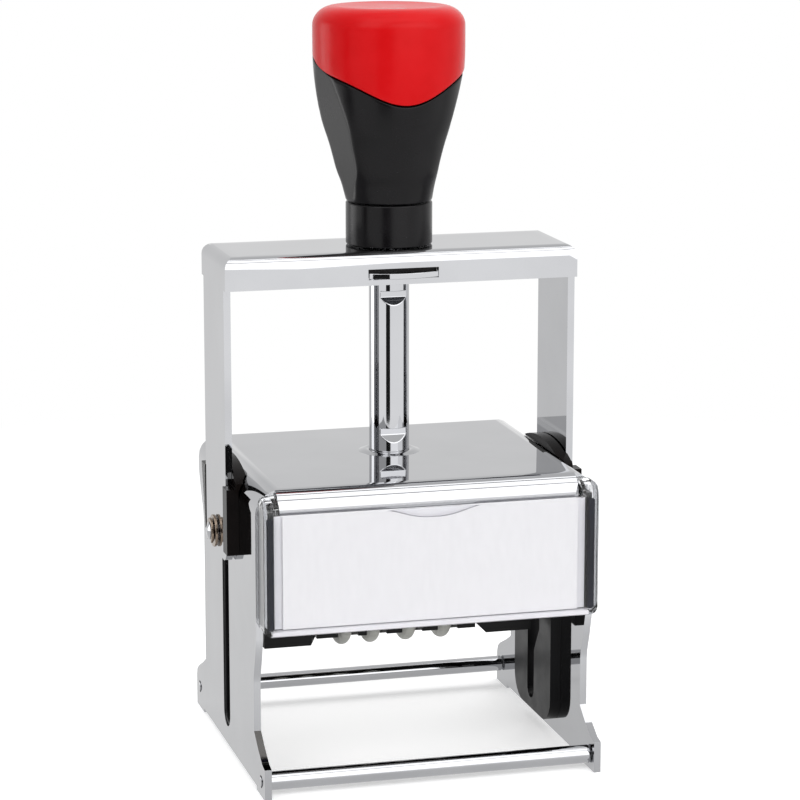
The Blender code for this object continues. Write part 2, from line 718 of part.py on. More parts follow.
def make_cam_guide(side, name, root, black):
    """A moulded guide on the inside of a side plate: a lined slot, a cam groove and a tray rail."""
    low, high = mirrored(side, GUIDE_IN, GUIDE_OUT)
    guide = prism(f"cam_guide_{name}", [rounded([
        (-GUIDE_FRONT, GUIDE_LOW, GUIDE_CORNER), (GUIDE_REAR, GUIDE_LOW, GUIDE_CORNER),
        (GUIDE_REAR, GUIDE_HIGH, GUIDE_TOP_CORNER), (-GUIDE_FRONT, GUIDE_HIGH, GUIDE_TOP_CORNER)])],
        "X", low, high, root, black)
    low, high = mirrored(side, GUIDE_OUT - BITE, FRAME_HALF - GAP)
    lip = prism(f"slot_lip_{name}", [stadium(LIP_HALF, SLOT_LOW_Z, PIVOT_Z)], "X", low, high, root)
    low, high = mirrored(side, RAIL_IN, RAIL_OUT)
    rail = box(f"tray_rail_{name}", (low, GUIDE_TOP_CORNER - GUIDE_FRONT, RAIL_LOW),
               (high, GUIDE_REAR - GUIDE_TOP_CORNER, RAIL_TOP), root)
    join(guide, lip, rail)
    low, high = mirrored(side, GUIDE_IN - OVERRUN, FRAME_HALF + OVERRUN)
    slot = prism(f"pin_slot_{name}", [stadium(SLOT_HALF, SLOT_LOW_Z, PIVOT_Z)], "X", low, high, root)
    low, high = mirrored(side, GUIDE_IN - OVERRUN, GUIDE_IN + GROOVE_DEPTH)
    groove = prism(f"cam_groove_{name}", [groove_outline()], "X", low, high, root)
    cut(guide, slot, groove)


def fin_outline():
    """The side view of a leg guide: an arched fin over two square lips."""
    reach = math.asin(LEG_GUIDE_DEPTH / FIN_ARC_R)
    crown = arc((0.0, FIN_TOP - FIN_ARC_R), FIN_ARC_R, math.pi / 2 - reach, math.pi / 2 + reach,
                FIN_ARC_STEPS)
    return crown + [(-LEG_GUIDE_DEPTH, LEG_GUIDE_LOW), (LEG_GUIDE_DEPTH, LEG_GUIDE_LOW)]


def make_leg_guide(side, name, root, black):
    """A bearing for one leg: a fin on the hood's rolled edge and two lips beside the leg."""
    low, high = mirrored(side, FIN_IN, LEG_GUIDE_OUT)
    guide = prism(f"leg_guide_{name}", [fin_outline()], "X", low, high, root, black)
    hood_half = FRAME_HALF + GAP
    hood = prism(f"hood_room_{name}", [
        hood_cross_section(hood_half, HOOD_TOP + GAP, SIDE_ROLL + GAP, LEG_GUIDE_LOW - OVERRUN)],
        "Y", -LEG_GUIDE_DEPTH - OVERRUN, LEG_GUIDE_DEPTH + OVERRUN, root)
    low, high = mirrored(side, YOKE_IN - GAP, LEG_GUIDE_OUT + OVERRUN)
    leg = box(f"leg_room_{name}", (low, -LEG_DEPTH - GAP, LEG_GUIDE_LOW - OVERRUN),
              (high, LEG_DEPTH + GAP, FIN_TOP + OVERRUN), root)
    low, high = mirrored(side, hood_half + BITE, LEG_GUIDE_OUT + OVERRUN)
    top = box(f"lip_top_{name}", (low, -LEG_GUIDE_DEPTH - OVERRUN, LEG_GUIDE_HIGH),
              (high, LEG_GUIDE_DEPTH + OVERRUN, FIN_TOP + OVERRUN), root)
    cut(guide, hood, leg, top)
    low, high = mirrored(side, FRAME_HALF - PEG_LENGTH, hood_half + BITE)
    for sign, end in ((-1, "front"), (1, "rear")):
        join(guide, cylinder(f"peg_{end}_{name}", PEG_R, "X", low, high,
                             (sign * PEG_DEPTH, PEG_Z), root, steps=ROUND_STEPS // 2))


def notch(name, top, flat, ramp, root):
    """The side view of one locking notch in the front of the post."""
    inner = NOTCH_DEPTH - POST_R
    outer = -POST_R - OVERRUN
    slope = ramp * (1 + OVERRUN / NOTCH_DEPTH)
    return prism(name, [[(outer, top), (inner, top), (inner, top - flat),
                         (outer, top - flat - slope)]], "X", -POST_R, POST_R, root)


def make_post(root, chrome):
    """The tube that guides the yoke and holds the return spring, staked into the hood."""
    base = HOOD_TOP + GAP
    post = turned("centre_post", [
        (0.0, POST_FLOOR), (POST_BORE_R, POST_FLOOR), (POST_BORE_R, POST_TOP), (POST_R, POST_TOP),
        (POST_R, base), (SPIGOT_R, base), (SPIGOT_R, HOOD_UNDER + FINE_GAP),
        (0.0, HOOD_UNDER + FINE_GAP)], root, chrome)
    locked = LATCH_TOP + FINE_GAP
    cut(post,
        notch("rest_relief", locked + GAP, REST_RELIEF, 0.0, root),
        notch("pad_change_notch", locked - PAD_CHANGE_PRESS, NOTCH_FLAT, NOTCH_RAMP, root),
        notch("pressed_notch", locked - TRAVEL + FINE_GAP, NOTCH_FLAT + FINE_GAP, NOTCH_RAMP, root))


def make_yoke(yoke, chrome):
    """The bent press yoke: a channel-shaped crossbar with a leg at each end."""
    low = LEG_LOW
    channel = YOKE_DEPTH - SHEET
    past = YOKE_DEPTH + OVERRUN
    crest = YOKE_TOP + FINE_GAP
    frame = prism("yoke_frame", [rounded([
        (-YOKE_HALF, low - OVERRUN, 0.0), (-YOKE_HALF, crest, YOKE_CORNER),
        (YOKE_HALF, crest, YOKE_CORNER), (YOKE_HALF, low - OVERRUN, 0.0)])],
        "Y", -past, past, yoke, chrome)
    keep(frame, prism("yoke_side_view", [rounded([
        (-YOKE_DEPTH, YOKE_TOP, YOKE_EDGE), (YOKE_DEPTH, YOKE_TOP, YOKE_EDGE),
        (YOKE_DEPTH, FLANGE_LOW, 0.0), (LEG_DEPTH, FLANGE_LOW, 0.0), (LEG_DEPTH, low, LEG_CORNER),
        (-LEG_DEPTH, low, LEG_CORNER), (-LEG_DEPTH, FLANGE_LOW, 0.0),
        (-YOKE_DEPTH, FLANGE_LOW, 0.0)])], "X", -YOKE_HALF - OVERRUN, YOKE_HALF + OVERRUN, yoke))
    cut(frame, prism("yoke_channel", [rounded([
        (-channel, YOKE_TOP - SHEET, YOKE_EDGE - SHEET), (channel, YOKE_TOP - SHEET, YOKE_EDGE - SHEET),
        (channel, FLANGE_LOW, 0.0), (past, FLANGE_LOW, 0.0), (past, low - OVERRUN, 0.0),
        (-past, low - OVERRUN, 0.0), (-past, FLANGE_LOW, 0.0), (-channel, FLANGE_LOW, 0.0)])],
        "X", -YOKE_IN, YOKE_IN, yoke))
    tail_high = LATCH_TOP + GAP
    cut(frame,
        cylinder("yoke_post_hole", HANDLE_BORE_R, "Z", YOKE_TOP - SHEET - OVERRUN,
                 YOKE_TOP + OVERRUN, (0.0, 0.0), yoke),
        box("tab_slot", (-TAB_SLOT_HALF, -YOKE_DEPTH - OVERRUN, TAB_SLOT_LOW),
            (TAB_SLOT_HALF, -channel + BITE, TAB_SLOT_TOP), yoke),
        box("tail_slot", (-LATCH_TAIL_HALF - GAP, channel - BITE, LATCH_LOW - GAP),
            (LATCH_TAIL_HALF + GAP, YOKE_DEPTH + OVERRUN, tail_high), yoke),
        cylinder("leg_pin_holes", PIN_R + GAP, "X", -YOKE_HALF - OVERRUN, YOKE_HALF + OVERRUN,
                 (0.0, PIVOT_Z), yoke))


def make_latch(latch, chrome):
    """The locking plate: a flat ring round the post with a lowered front tab and a rear tail."""
    channel = YOKE_DEPTH - SHEET
    front = GAP - channel
    tip = -YOKE_DEPTH - TAB_REACH
    base = LATCH_LOW
    plate = box("latch_plate", (-LATCH_HALF, front, 0.0),
                (LATCH_HALF, channel - LATCH_REAR_ROOM, LATCH_TOP - base), latch, chrome)
    tab_low = TAB_LOW - base
    tab_top = tab_low + LATCH_THICKNESS
    top = LATCH_TOP - base
    web = front + LATCH_THICKNESS
    rear = channel - LATCH_REAR_ROOM
    tab = prism("latch_tab", [[(tip - BITE, tab_low), (web, tab_low), (web, top - BITE),
                               (front + BITE / 2, top - BITE), (front + BITE / 2, tab_top),
                               (tip - BITE, tab_top)]], "X", -TAB_HALF, TAB_HALF, latch)
    tail = box("latch_tail", (-LATCH_TAIL_HALF, rear - BITE, BITE / 2),
               (LATCH_TAIL_HALF, channel + LATCH_TAIL_OVER, top - BITE / 2), latch)
    join(plate, tab, tail)
    arc_middle = tip + LATCH_ARC_R
    keep(plate, cylinder("tab_arc", LATCH_ARC_R, "Z", tab_low - OVERRUN, top + OVERRUN,
                         (0.0, arc_middle), latch, steps=2 * ROUND_STEPS))
    hole_front = -POST_R - GAP
    hole_half = POST_R + 2 * GAP
    cut(plate, box("latch_hole", (-hole_half, hole_front, tab_low - OVERRUN),
                   (hole_half, POST_R + LATCH_HOLE_SPARE, top + OVERRUN), latch))


def grip_profile():
    """The handle's outline from its neck to the edge of its flat top."""
    rise = GRIP_SHOULDER_Z - GRIP_LOW
    spread = GRIP_R - GRIP_NECK_R
    side = smooth_through([(GRIP_NECK_R + spread * wide, GRIP_LOW + rise * high)
                           for high, wide in GRIP_PROFILE_SHARES])
    shoulder = [(GRIP_TOP_R + (GRIP_R - GRIP_TOP_R) * across, GRIP_SHOULDER_Z
                 + (HEIGHT - GRIP_SHOULDER_Z) * up)
                for across, up in arc((0.0, 0.0), 1.0, 0.0, math.pi / 2, FILLET_STEPS)]
    return side + shoulder[1:]


def seam_height(turn):
    """The height of the seam between grip and cap; turn is counted from the front."""
    swing = SEAM_FRONT_DROP if math.cos(turn) > 0 else SEAM_BACK_RISE
    return SEAM_Z - swing * math.cos(turn) + SEAM_WAVE * math.sin(2 * turn) ** 2 * (
        1.0 if math.cos(turn) > 0 else 0.0)


def seam_tool(name, shift, far, yoke):
    """A block that ends in the wavy seam; far is its flat end, above or below."""
    mesh = bpy.data.meshes.new(name)
    shape = bmesh.new()
    reach = GRIP_R + OVERRUN
    bmesh.ops.create_cone(shape, cap_ends=True, cap_tris=True, segments=GRIP_STEPS, radius1=reach,
                          radius2=reach, depth=1.0)
    seam_side = -1.0 if far > SEAM_Z else 1.0
    for corner in shape.verts:
        if corner.co.z * seam_side > 0:
            spread = Vector(corner.co.xy).length / GRIP_R
            turn = math.atan2(corner.co.x, -corner.co.y)
            corner.co.z = SEAM_Z + (seam_height(turn) - SEAM_Z) * spread + shift
        else:
            corner.co.z = far
    shape.to_mesh(mesh)
    shape.free()
    return place(name, mesh, yoke)


def facet_tools(yoke):
    """Two cutters that flatten the sides of the grip below the cap."""
    rise = GRIP_SHOULDER_Z - GRIP_LOW
    spread = GRIP_R - GRIP_NECK_R
    line = smooth_through([(GRIP_NECK_R + spread * out, GRIP_LOW + rise * high)
                           for high, out in FACET_SHARES])
    far = 2 * GRIP_R
    outline = line + [(far, line[-1][1]), (far, line[0][1])]
    turns = {"right": FACET_TURN - math.pi / 2, "left": -FACET_TURN - math.pi / 2}
    return [prism(f"grip_facet_{name}", [outline], "Y", -GRIP_R, GRIP_R, yoke, turn=turn)
            for name, turn in turns.items()]


def make_handle(yoke, glossy_black, red, chrome):
    """The collar on the crossbar, the black grip, the red cap and the plunger of the spring."""
    base = YOKE_TOP + GAP
    turned("handle_collar", [(HANDLE_BORE_R, COLLAR_TOP), (COLLAR_R, COLLAR_TOP), (COLLAR_R, base),
                             (HANDLE_BORE_R, base)], yoke, glossy_black, GRIP_STEPS, closed=True)
    bore_top = PLUNGER_TOP + GAP
    outline = [(0.0, HEIGHT), *grip_profile()[::-1], (HANDLE_BORE_R, GRIP_LOW),
               (HANDLE_BORE_R, bore_top), (0.0, bore_top)]
    for name, material, far, shift in (("grip_body", glossy_black, HEIGHT + OVERRUN, -GAP / 2),
                                       ("grip_cap", red, GRIP_LOW - OVERRUN, GAP / 2)):
        piece = turned(name, outline, yoke, material, GRIP_STEPS)
        cut(piece, seam_tool(f"{name}_seam", shift, far, yoke))
        if material is glossy_black:
            cut(piece, *facet_tools(yoke))
    head_low = PLUNGER_TOP - PLUNGER_HEAD
    turned("spring_plunger", [
        (0.0, PLUNGER_TOP), (PLUNGER_HEAD_R, PLUNGER_TOP), (PLUNGER_HEAD_R, head_low),
        (PLUNGER_R, head_low), (PLUNGER_R, PLUNGER_LOW), (0.0, PLUNGER_LOW)],
        yoke, chrome, ROUND_STEPS // 2)


def make_return_spring(root, steel):
    """The coil in the post, from the post's floor to the plunger."""
    low = POST_FLOOR + GAP + SPRING_WIRE_R
    high = PLUNGER_LOW - GAP - SPRING_WIRE_R
    centre_r = SPRING_R - SPRING_WIRE_R
    coil = bpy.data.curves.new("return_spring", "CURVE")
    coil.dimensions = "3D"
    coil.bevel_depth = SPRING_WIRE_R
    coil.bevel_resolution = 1
    coil.use_fill_caps = True
    spline = coil.splines.new("POLY")
    count = SPRING_TURNS * SPRING_POINTS_A_TURN
    spline.points.add(count)
    for at, point in enumerate(spline.points):
        turn = 2 * math.pi * at / SPRING_POINTS_A_TURN
        height = low + (high - low) * at / count
        point.co = (centre_r * math.cos(turn), centre_r * math.sin(turn), height, 1.0)
    holder = bpy.data.objects.new("return_spring_line", coil)
    collection(CUTTERS).objects.link(holder)
    mesh = curve_mesh(holder, "return_spring", Matrix.Identity(4))
    smooth_round(mesh)
    place("return_spring", mesh, root, steel)


def make_pivot(side, name, yoke, chrome, steel):
    """A pivot pin through one leg, with its washer and its open retaining ring."""
    washer_in = YOKE_HALF + GAP
    washer_out = washer_in + WASHER
    ring_in = washer_out + GAP
    ring_out = ring_in + RING
    groove_in = ring_in - FINE_GAP
    groove_out = ring_out + FINE_GAP
    groove_r = PIN_R - RING_BITE
    head_out = PIN_IN + PIN_HEAD
    tip = ring_out + PIN_TIP
    pin = turned(f"pivot_pin_{name}", [
        (0.0, tip), (PIN_R / 2, tip - PIN_DOME / 4), (PIN_R, tip - PIN_DOME),
        (PIN_R, groove_out), (groove_r, groove_out), (groove_r, groove_in), (PIN_R, groove_in),
        (PIN_R, head_out), (PIN_HEAD_R, head_out), (PIN_HEAD_R, PIN_IN), (0.0, PIN_IN)],
        yoke, chrome, ROUND_STEPS // 2)
    lay_along_x(pin, side, z=PIVOT_Z)
    washer = turned(f"pivot_washer_{name}", [
        (PIN_R + GAP, washer_out), (WASHER_R, washer_out), (WASHER_R, washer_in),
        (PIN_R + GAP, washer_in)], yoke, steel, ROUND_STEPS // 2, closed=True)
    lay_along_x(washer, side, z=PIVOT_Z)
    inner = groove_r + FINE_GAP
    start = RING_GAP_TURN - math.pi / 2
    stop = 3 * math.pi / 2 - RING_GAP_TURN
    outline = (arc((0.0, PIVOT_Z), RING_R, start, stop, ROUND_STEPS // 2)
               + arc((0.0, PIVOT_Z), inner, stop, start, ROUND_STEPS // 2))
    low, high = mirrored(side, ring_in, ring_out)
    prism(f"retaining_ring_{name}", [outline], "X", low, high, yoke, steel)


def window_box(name, low, high, die):
    """A cutter for the band window that runs through holder, text plate and rubber."""
    return box(name, (-WINDOW_HALF, -WINDOW_DEPTH, low - OVERRUN),
               (WINDOW_HALF, WINDOW_DEPTH, high + OVERRUN), die)


def make_die_block(die, black, rubber, white):
    """The holder with its end blocks, bosses and follower pins, and the plates on it."""
    holder = box("die_holder", (-HOLDER_HALF, -HOLDER_DEPTH, HOLDER_LOW),
                 (HOLDER_HALF, HOLDER_DEPTH, HOLDER_TOP), die, black)
    hollows = []
    for side, name in ((-1, "left"), (1, "right")):
        inner, outer = side * END_BLOCK_IN, side * (HOLDER_HALF - BITE / 2)
        chamfer = side * END_BLOCK_CHAMFER
        corners = [(inner, HOLDER_LOW + BITE), (inner, END_BLOCK_LOW + END_BLOCK_CHAMFER),
                   (inner + chamfer, END_BLOCK_LOW), (outer, END_BLOCK_LOW),
                   (outer, HOLDER_LOW + BITE)]
        block = prism(f"end_block_{name}", [corners], "Y", -END_BLOCK_DEPTH, END_BLOCK_DEPTH, die)
        wall = HOLDER_HALF - END_BLOCK_WALL
        low, high = mirrored(side, wall, BOSS_OUT)
        boss = cylinder(f"pivot_boss_{name}", BOSS_R, "X", low, high, (0.0, 0.0), die)
        low, high = mirrored(side, wall, FOLLOWER_OUT)
        pin = cylinder(f"follower_pin_{name}", FOLLOWER_R, "X", low, high, (0.0, -FOLLOWER_ARM),
                       die, steps=ROUND_STEPS // 2)
        join(holder, block, boss, pin)
        low, high = mirrored(side, END_BLOCK_IN - OVERRUN, wall)
        room = END_BLOCK_DEPTH - END_BLOCK_WALL
        hollows.append(box(f"end_hollow_{name}", (low, -room, END_BLOCK_LOW + END_BLOCK_WALL),
                           (high, room, PIN_HEAD_R + 2 * GAP), die))
        low, high = mirrored(side, wall - OVERRUN, BOSS_OUT + OVERRUN)
        hollows.append(cylinder(f"pivot_bore_{name}", PIN_R + GAP, "X", low, high, (0.0, 0.0), die))
    cut(holder, *hollows, window_box("holder_window", HOLDER_LOW, HOLDER_TOP, die))
    plate_depth = RUBBER_DEPTH + TEXT_PLATE_MARGIN
    plate = box("text_plate", (-TEXT_PLATE_HALF, -plate_depth, TEXT_LOW),
                (TEXT_PLATE_HALF, plate_depth, TEXT_TOP), die, white)
    cut(plate, window_box("text_plate_window", TEXT_LOW, TEXT_TOP, die))
    face = box("rubber_die", (-RUBBER_HALF, -RUBBER_DEPTH, RUBBER_LOW),
               (RUBBER_HALF, RUBBER_DEPTH, FACE_Z), die, rubber)
    cut(face, window_box("rubber_window", RUBBER_LOW, FACE_Z, die))


def make_date_cage(die, black):
    """The frame of the date works: walls slotted for the wheels, and cheeks up to the face."""
    cage = box("date_cage", (-CAGE_OUT, -CAGE_DEPTH, CAGE_LOW), (CAGE_OUT, CAGE_DEPTH, CAGE_TOP),
               die, black)
    necks = [box(f"cage_neck_{name}", (low, -CAGE_NECK_DEPTH, CAGE_TOP - CAGE_WALL - OVERRUN),
                 (high, CAGE_NECK_DEPTH, CAGE_NECK_TOP), die)
             for name, (low, high) in (("left", mirrored(-1, CAGE_IN, CAGE_OUT - BITE / 2)),
                                       ("right", mirrored(1, CAGE_IN, CAGE_OUT - BITE / 2)))]
    join(cage, *necks)
    room = CAGE_DEPTH - CAGE_WALL
    inside = CAGE_IN - BITE / 2
    cut(cage,
        box("cage_hollow", (-inside, -room, CAGE_LOW - OVERRUN),
            (inside, room, CAGE_TOP - CAGE_WALL), die),
        box("cage_top_window", (-inside, BITE - WINDOW_DEPTH, CAGE_TOP - CAGE_WALL - OVERRUN),
            (inside, WINDOW_DEPTH - BITE, CAGE_TOP + OVERRUN), die),
        cylinder("cage_shaft_holes", SHAFT_R + GAP, "X", -CAGE_OUT - OVERRUN, CAGE_OUT + OVERRUN,
                 (0.0, WHEEL_Z), die, steps=ROUND_STEPS // 2))
    half = WHEEL_WIDTH / 2 + 2 * GAP
    for number, x in enumerate(WHEEL_XS, 1):
        cut(cage, box(f"wheel_slot_{number}", (x - half, -CAGE_DEPTH - OVERRUN, CAGE_LOW - OVERRUN),
                      (x + half, CAGE_DEPTH + OVERRUN, WHEEL_SLOT_HIGH), die))


def belt_outline(tip_r, drum_r):
    """A loop over the bridge and round a drum, as (y, z) points."""
    tilt = math.asin((drum_r - tip_r) / (BRIDGE_Z - WHEEL_Z))
    return (arc((0.0, BRIDGE_Z), tip_r, tilt, math.pi - tilt, BELT_STEPS)
            + arc((0.0, WHEEL_Z), drum_r, math.pi - tilt, 2 * math.pi + tilt, 2 * BELT_STEPS))


def make_date_works(die, white, rubber, chrome, black):
    """The setting wheels on their shaft, the printing bands and the bridge under the face."""
    bridge = CAGE_IN - GAP
    cylinder("band_bridge", BRIDGE_R, "X", -bridge, bridge, (0.0, BRIDGE_Z), die, black,
             steps=ROUND_STEPS // 2)
    shaft = CAGE_OUT - FINE_GAP
    cylinder("wheel_shaft", SHAFT_R, "X", -shaft, shaft, (0.0, WHEEL_Z), die, chrome,
             steps=ROUND_STEPS // 2)
    half = WHEEL_WIDTH / 2
    rim = WHEEL_R - WHEEL_CHAMFER
    bore = SHAFT_R + GAP
    for number, x in enumerate(WHEEL_XS, 1):
        wheel = turned(f"date_wheel_{number}", [
            (bore, WHEEL_DRUM_OUT), (DRUM_R, WHEEL_DRUM_OUT), (DRUM_R, half), (rim, half),
            (WHEEL_R, half - WHEEL_CHAMFER), (WHEEL_R, WHEEL_CHAMFER - half), (rim, -half),
            (bore, -half)], die, white, WHEEL_STEPS, closed=True)
        lay_along_x(wheel, 1, x, WHEEL_Z)
        middle = x + half + DRUM_WIDTH / 2
        prism(f"date_band_{number}", [belt_outline(BAND_TIP_R, BAND_DRUM_R),
                                      belt_outline(BAND_TIP_R - BAND, BAND_DRUM_R - BAND)],
              "X", middle - BAND_WIDTH / 2, middle + BAND_WIDTH / 2, die, rubber)


def make_pad_tray(tray, steel, felt):
    """The ink pad's tray, which runs on the guides' rails, and the pad under it."""
    grip_front = HOOD_REAR + GAP
    roof = box("ink_pad_tray", (-TRAY_HALF, -TRAY_FRONT, TRAY_LOW),
               (TRAY_HALF, grip_front + BITE, TRAY_TOP), tray, steel)
    join(roof, box("tray_grip", (-PAD_HALF, grip_front, TRAY_GRIP_LOW),
                   (PAD_HALF, grip_front + TRAY_GRIP, TRAY_TOP - FINE_GAP), tray))
    box("ink_pad", (-PAD_HALF, -PAD_DEPTH, PAD_LOW), (PAD_HALF, PAD_DEPTH, RAIL_TOP), tray, felt)


def cover_view(half, low, high, ear_in, ear_top, corner, ear_corner, open_top):
    """The front view of the cover or of the room in it, with the raised ears at its ends."""
    shoulder = open_top if open_top else high
    right = [(half, low, corner), (half, ear_top, ear_corner), (ear_in, ear_top, 0.0),
             (ear_in, high, 0.0)]
    if open_top:
        right.append((FRONT_WALL_HALF - COVER_WALL, high, 0.0))
        right.append((FRONT_WALL_HALF - COVER_WALL, shoulder, 0.0))
    return rounded(right + [(-across, along, radius) for across, along, radius in right[::-1]])


def make_cover(root, clear):
    """The clear cover of the index card, with ears that close the hood's front corners."""
    cover = prism("window_cover", [cover_view(COVER_HALF, COVER_LOW, COVER_HIGH, EAR_IN, EAR_TOP,
                                              COVER_CORNER, EAR_CORNER, None)],
                  "Y", -COVER_FRONT, -COVER_REAR, root, clear)
    keep(cover, prism("cover_side_view", [rounded([
        (-COVER_FRONT, COVER_LOW - OVERRUN, 0.0), (-COVER_FRONT, EAR_TOP, EAR_ROLL),
        (OVERRUN - COVER_REAR, EAR_TOP, 0.0), (OVERRUN - COVER_REAR, COVER_LOW - OVERRUN, 0.0)])],
        "X", -COVER_HALF - OVERRUN, COVER_HALF + OVERRUN, root))
    room = prism("cover_room", [cover_view(COVER_IN, COVER_LOW + COVER_WALL, COVER_HIGH,
                                           EAR_IN + COVER_WALL, EAR_TOP - COVER_WALL,
                                           COVER_CORNER - COVER_WALL, 0.0, HOOD_TOP + OVERRUN)],
                 "Y", COVER_WALL - COVER_FRONT, OVERRUN - COVER_REAR, root)
    keep(room, prism("room_side_view", [rounded([
        (COVER_WALL - COVER_FRONT, COVER_LOW - OVERRUN, 0.0),
        (COVER_WALL - COVER_FRONT, EAR_TOP - COVER_WALL, EAR_ROLL - COVER_WALL),
        (2 * OVERRUN - COVER_REAR, EAR_TOP - COVER_WALL, 0.0),
        (2 * OVERRUN - COVER_REAR, COVER_LOW - OVERRUN, 0.0)])],
        "X", -COVER_HALF - OVERRUN, COVER_HALF + OVERRUN, root))
    hood = box("cover_hood_room", (-EAR_IN, -HOOD_FRONT - GAP, FRONT_WALL_LOW - GAP),
               (EAR_IN, OVERRUN - COVER_REAR, HOOD_TOP + OVERRUN), root)
    cut(cover, room, hood)


def card_outline():
    """The index card with a thumb notch in its upper edge."""
    dip = [(THUMB_HALF * (1 - share), CARD_TOP - THUMB_DEPTH * deep)
           for share, deep in smooth_through(THUMB_SHARES)]
    notch_line = dip + [(-across, along) for across, along in dip[-2::-1]]
    return [(-CARD_HALF, CARD_LOW), (CARD_HALF, CARD_LOW), (CARD_HALF, CARD_TOP), *notch_line,
            (-CARD_HALF, CARD_TOP)]


def make_label(root, card_white, grey, black):
    """The card, its backing on the hood's front wall and the clips behind the cover's ends."""
    prism("label_card", [card_outline()], "Y", CARD_Y, CARD_Y + CARD, root, card_white)
    box("label_backing", (-BACKING_HALF, BACKING_Y, CARD_LOW), (BACKING_HALF, BACKING_Y + BACKING,
                                                                CARD_TOP), root, grey)
    for side, name in ((-1, "left"), (1, "right")):
        low, high = mirrored(side, COVER_IN - GAP - CLIP_THICKNESS, COVER_IN - GAP)
        front = COVER_WALL + GAP - COVER_FRONT
        clip = box(f"cover_clip_{name}", (low, front, CARD_LOW),
                   (high, -COVER_REAR - GAP, EAR_TOP - CLIP_DROP), root, black)
        join(clip, box(f"clip_tongue_{name}",
                       (low + WELD, -COVER_REAR - GAP - BITE, COVER_LOW + CLIP_TONGUE_RISE),
                       (high - WELD, CLIP_TONGUE - COVER_REAR, HOOD_TOP - CLIP_TONGUE_DROP), root))


def main():
    clear_scene()
    chrome = finish("chrome", CHROME, 0.08, 1.0)
    steel = finish("plain_steel", STEEL, 0.25, 1.0)
    glossy_black = finish("glossy_black_plastic", BLACK, 0.18)
    black = finish("black_plastic", SOFT_BLACK, 0.35)
    red = finish("red_plastic", RED, 0.25)
    white = finish("off_white_plastic", OFF_WHITE, 0.4)
    card_white = finish("card", CARD_WHITE, 0.6)
    clear = finish("clear_plastic", CLEAR, 0.05)
    rubber = finish("red_rubber", RUBBER_RED, 0.6)
    felt = finish("inked_felt", FELT, 0.9)

    root = empty("press_axis", (0.0, AXIS_Y, 0.0))
    yoke = empty("yoke_slide", (0.0, 0.0, 0.0), root)
    die = empty("die_pivot", (0.0, 0.0, PIVOT_Z), yoke)
    latch = empty("latch_slide", (0.0, 0.0, LATCH_LOW), yoke)
    tray = empty("tray_slide", (0.0, 0.0, 0.0), root)

    make_frame_shell(root, chrome)
    make_rod("front_rod", FRONT_ROD_R, ROD_INSET - FOOT_FRONT, FRONT_ROD_Z, root, chrome)
    make_rod("rear_rod", REAR_ROD_R, FOOT_REAR - ROD_INSET, REAR_ROD_Z, root, chrome)
    for side, name in ((-1, "left"), (1, "right")):
        make_cam_guide(side, name, root, black)
        make_leg_guide(side, name, root, glossy_black)
        make_pivot(side, name, yoke, chrome, steel)
    make_post(root, chrome)
    make_return_spring(root, steel)
    make_cover(root, clear)
    make_label(root, card_white, white, black)
    make_yoke(yoke, chrome)
    make_latch(latch, chrome)
    make_handle(yoke, glossy_black, red, steel)
    make_die_block(die, black, rubber, white)
    make_date_cage(die, black)
    make_date_works(die, white, rubber, chrome, black)
    make_pad_tray(tray, steel, felt)


main()
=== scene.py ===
"""Looks of a heavy self-inking date stamp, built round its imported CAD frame.

Metres, +Z up, the front towards -Y, in the frame of the CAD model.  Every CAD piece gets a
refined skin with rounded edges and a procedural finish.  The handle is modelled anew.
"""

import json
import math

import bmesh
import bpy
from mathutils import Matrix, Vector

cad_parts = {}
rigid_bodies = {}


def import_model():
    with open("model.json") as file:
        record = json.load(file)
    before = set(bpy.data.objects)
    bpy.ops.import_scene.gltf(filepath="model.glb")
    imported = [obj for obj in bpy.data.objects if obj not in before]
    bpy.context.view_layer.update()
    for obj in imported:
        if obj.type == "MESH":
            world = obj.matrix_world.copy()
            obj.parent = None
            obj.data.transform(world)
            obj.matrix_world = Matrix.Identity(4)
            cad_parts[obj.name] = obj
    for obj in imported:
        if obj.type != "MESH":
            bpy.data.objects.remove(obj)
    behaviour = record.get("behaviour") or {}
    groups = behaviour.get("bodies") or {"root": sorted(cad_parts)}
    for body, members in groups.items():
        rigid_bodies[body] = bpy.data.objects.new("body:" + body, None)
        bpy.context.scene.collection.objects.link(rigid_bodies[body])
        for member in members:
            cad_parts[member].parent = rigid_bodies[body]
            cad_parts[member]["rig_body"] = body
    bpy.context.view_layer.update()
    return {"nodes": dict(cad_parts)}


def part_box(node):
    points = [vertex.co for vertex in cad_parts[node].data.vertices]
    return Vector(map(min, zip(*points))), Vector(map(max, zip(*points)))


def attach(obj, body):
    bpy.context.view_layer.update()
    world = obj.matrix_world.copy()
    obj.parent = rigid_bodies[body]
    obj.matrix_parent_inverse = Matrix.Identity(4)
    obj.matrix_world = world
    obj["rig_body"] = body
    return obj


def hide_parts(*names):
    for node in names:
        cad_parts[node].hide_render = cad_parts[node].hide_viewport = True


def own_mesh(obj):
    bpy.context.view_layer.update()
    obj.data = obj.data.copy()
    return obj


# Edges and facets of the skins
WELD = 0.000002
NEAR = 0.00001
FLAT_TURN = math.radians(0.5)
SHARP_TURN = math.radians(32)
FLAT_WEIGHT = 100
EDGE_STEPS = 2
SHEET_EDGE = 0.00045
YOKE_EDGE = 0.00070
MOULD_EDGE = 0.00030
FINE_EDGE = 0.00012
TOUCH = 0.00002

# Sizes of the CAD model that its nodes' boxes don't give
SHEET = 0.0018
GUIDE_GAP = 0.0003
BLOCK_IN = 0.0220
BLOCK_CHAMFER = 0.0016

# Leg guides: a narrow rear lip that ends below the hood's top
LIP_FROM = 0.0003
REAR_LIP = 0.0006
REAR_LIP_WIDTH = 0.0048
REAR_LIP_PROUD = 0.00015
LIP_TOP_DROP = 0.0040

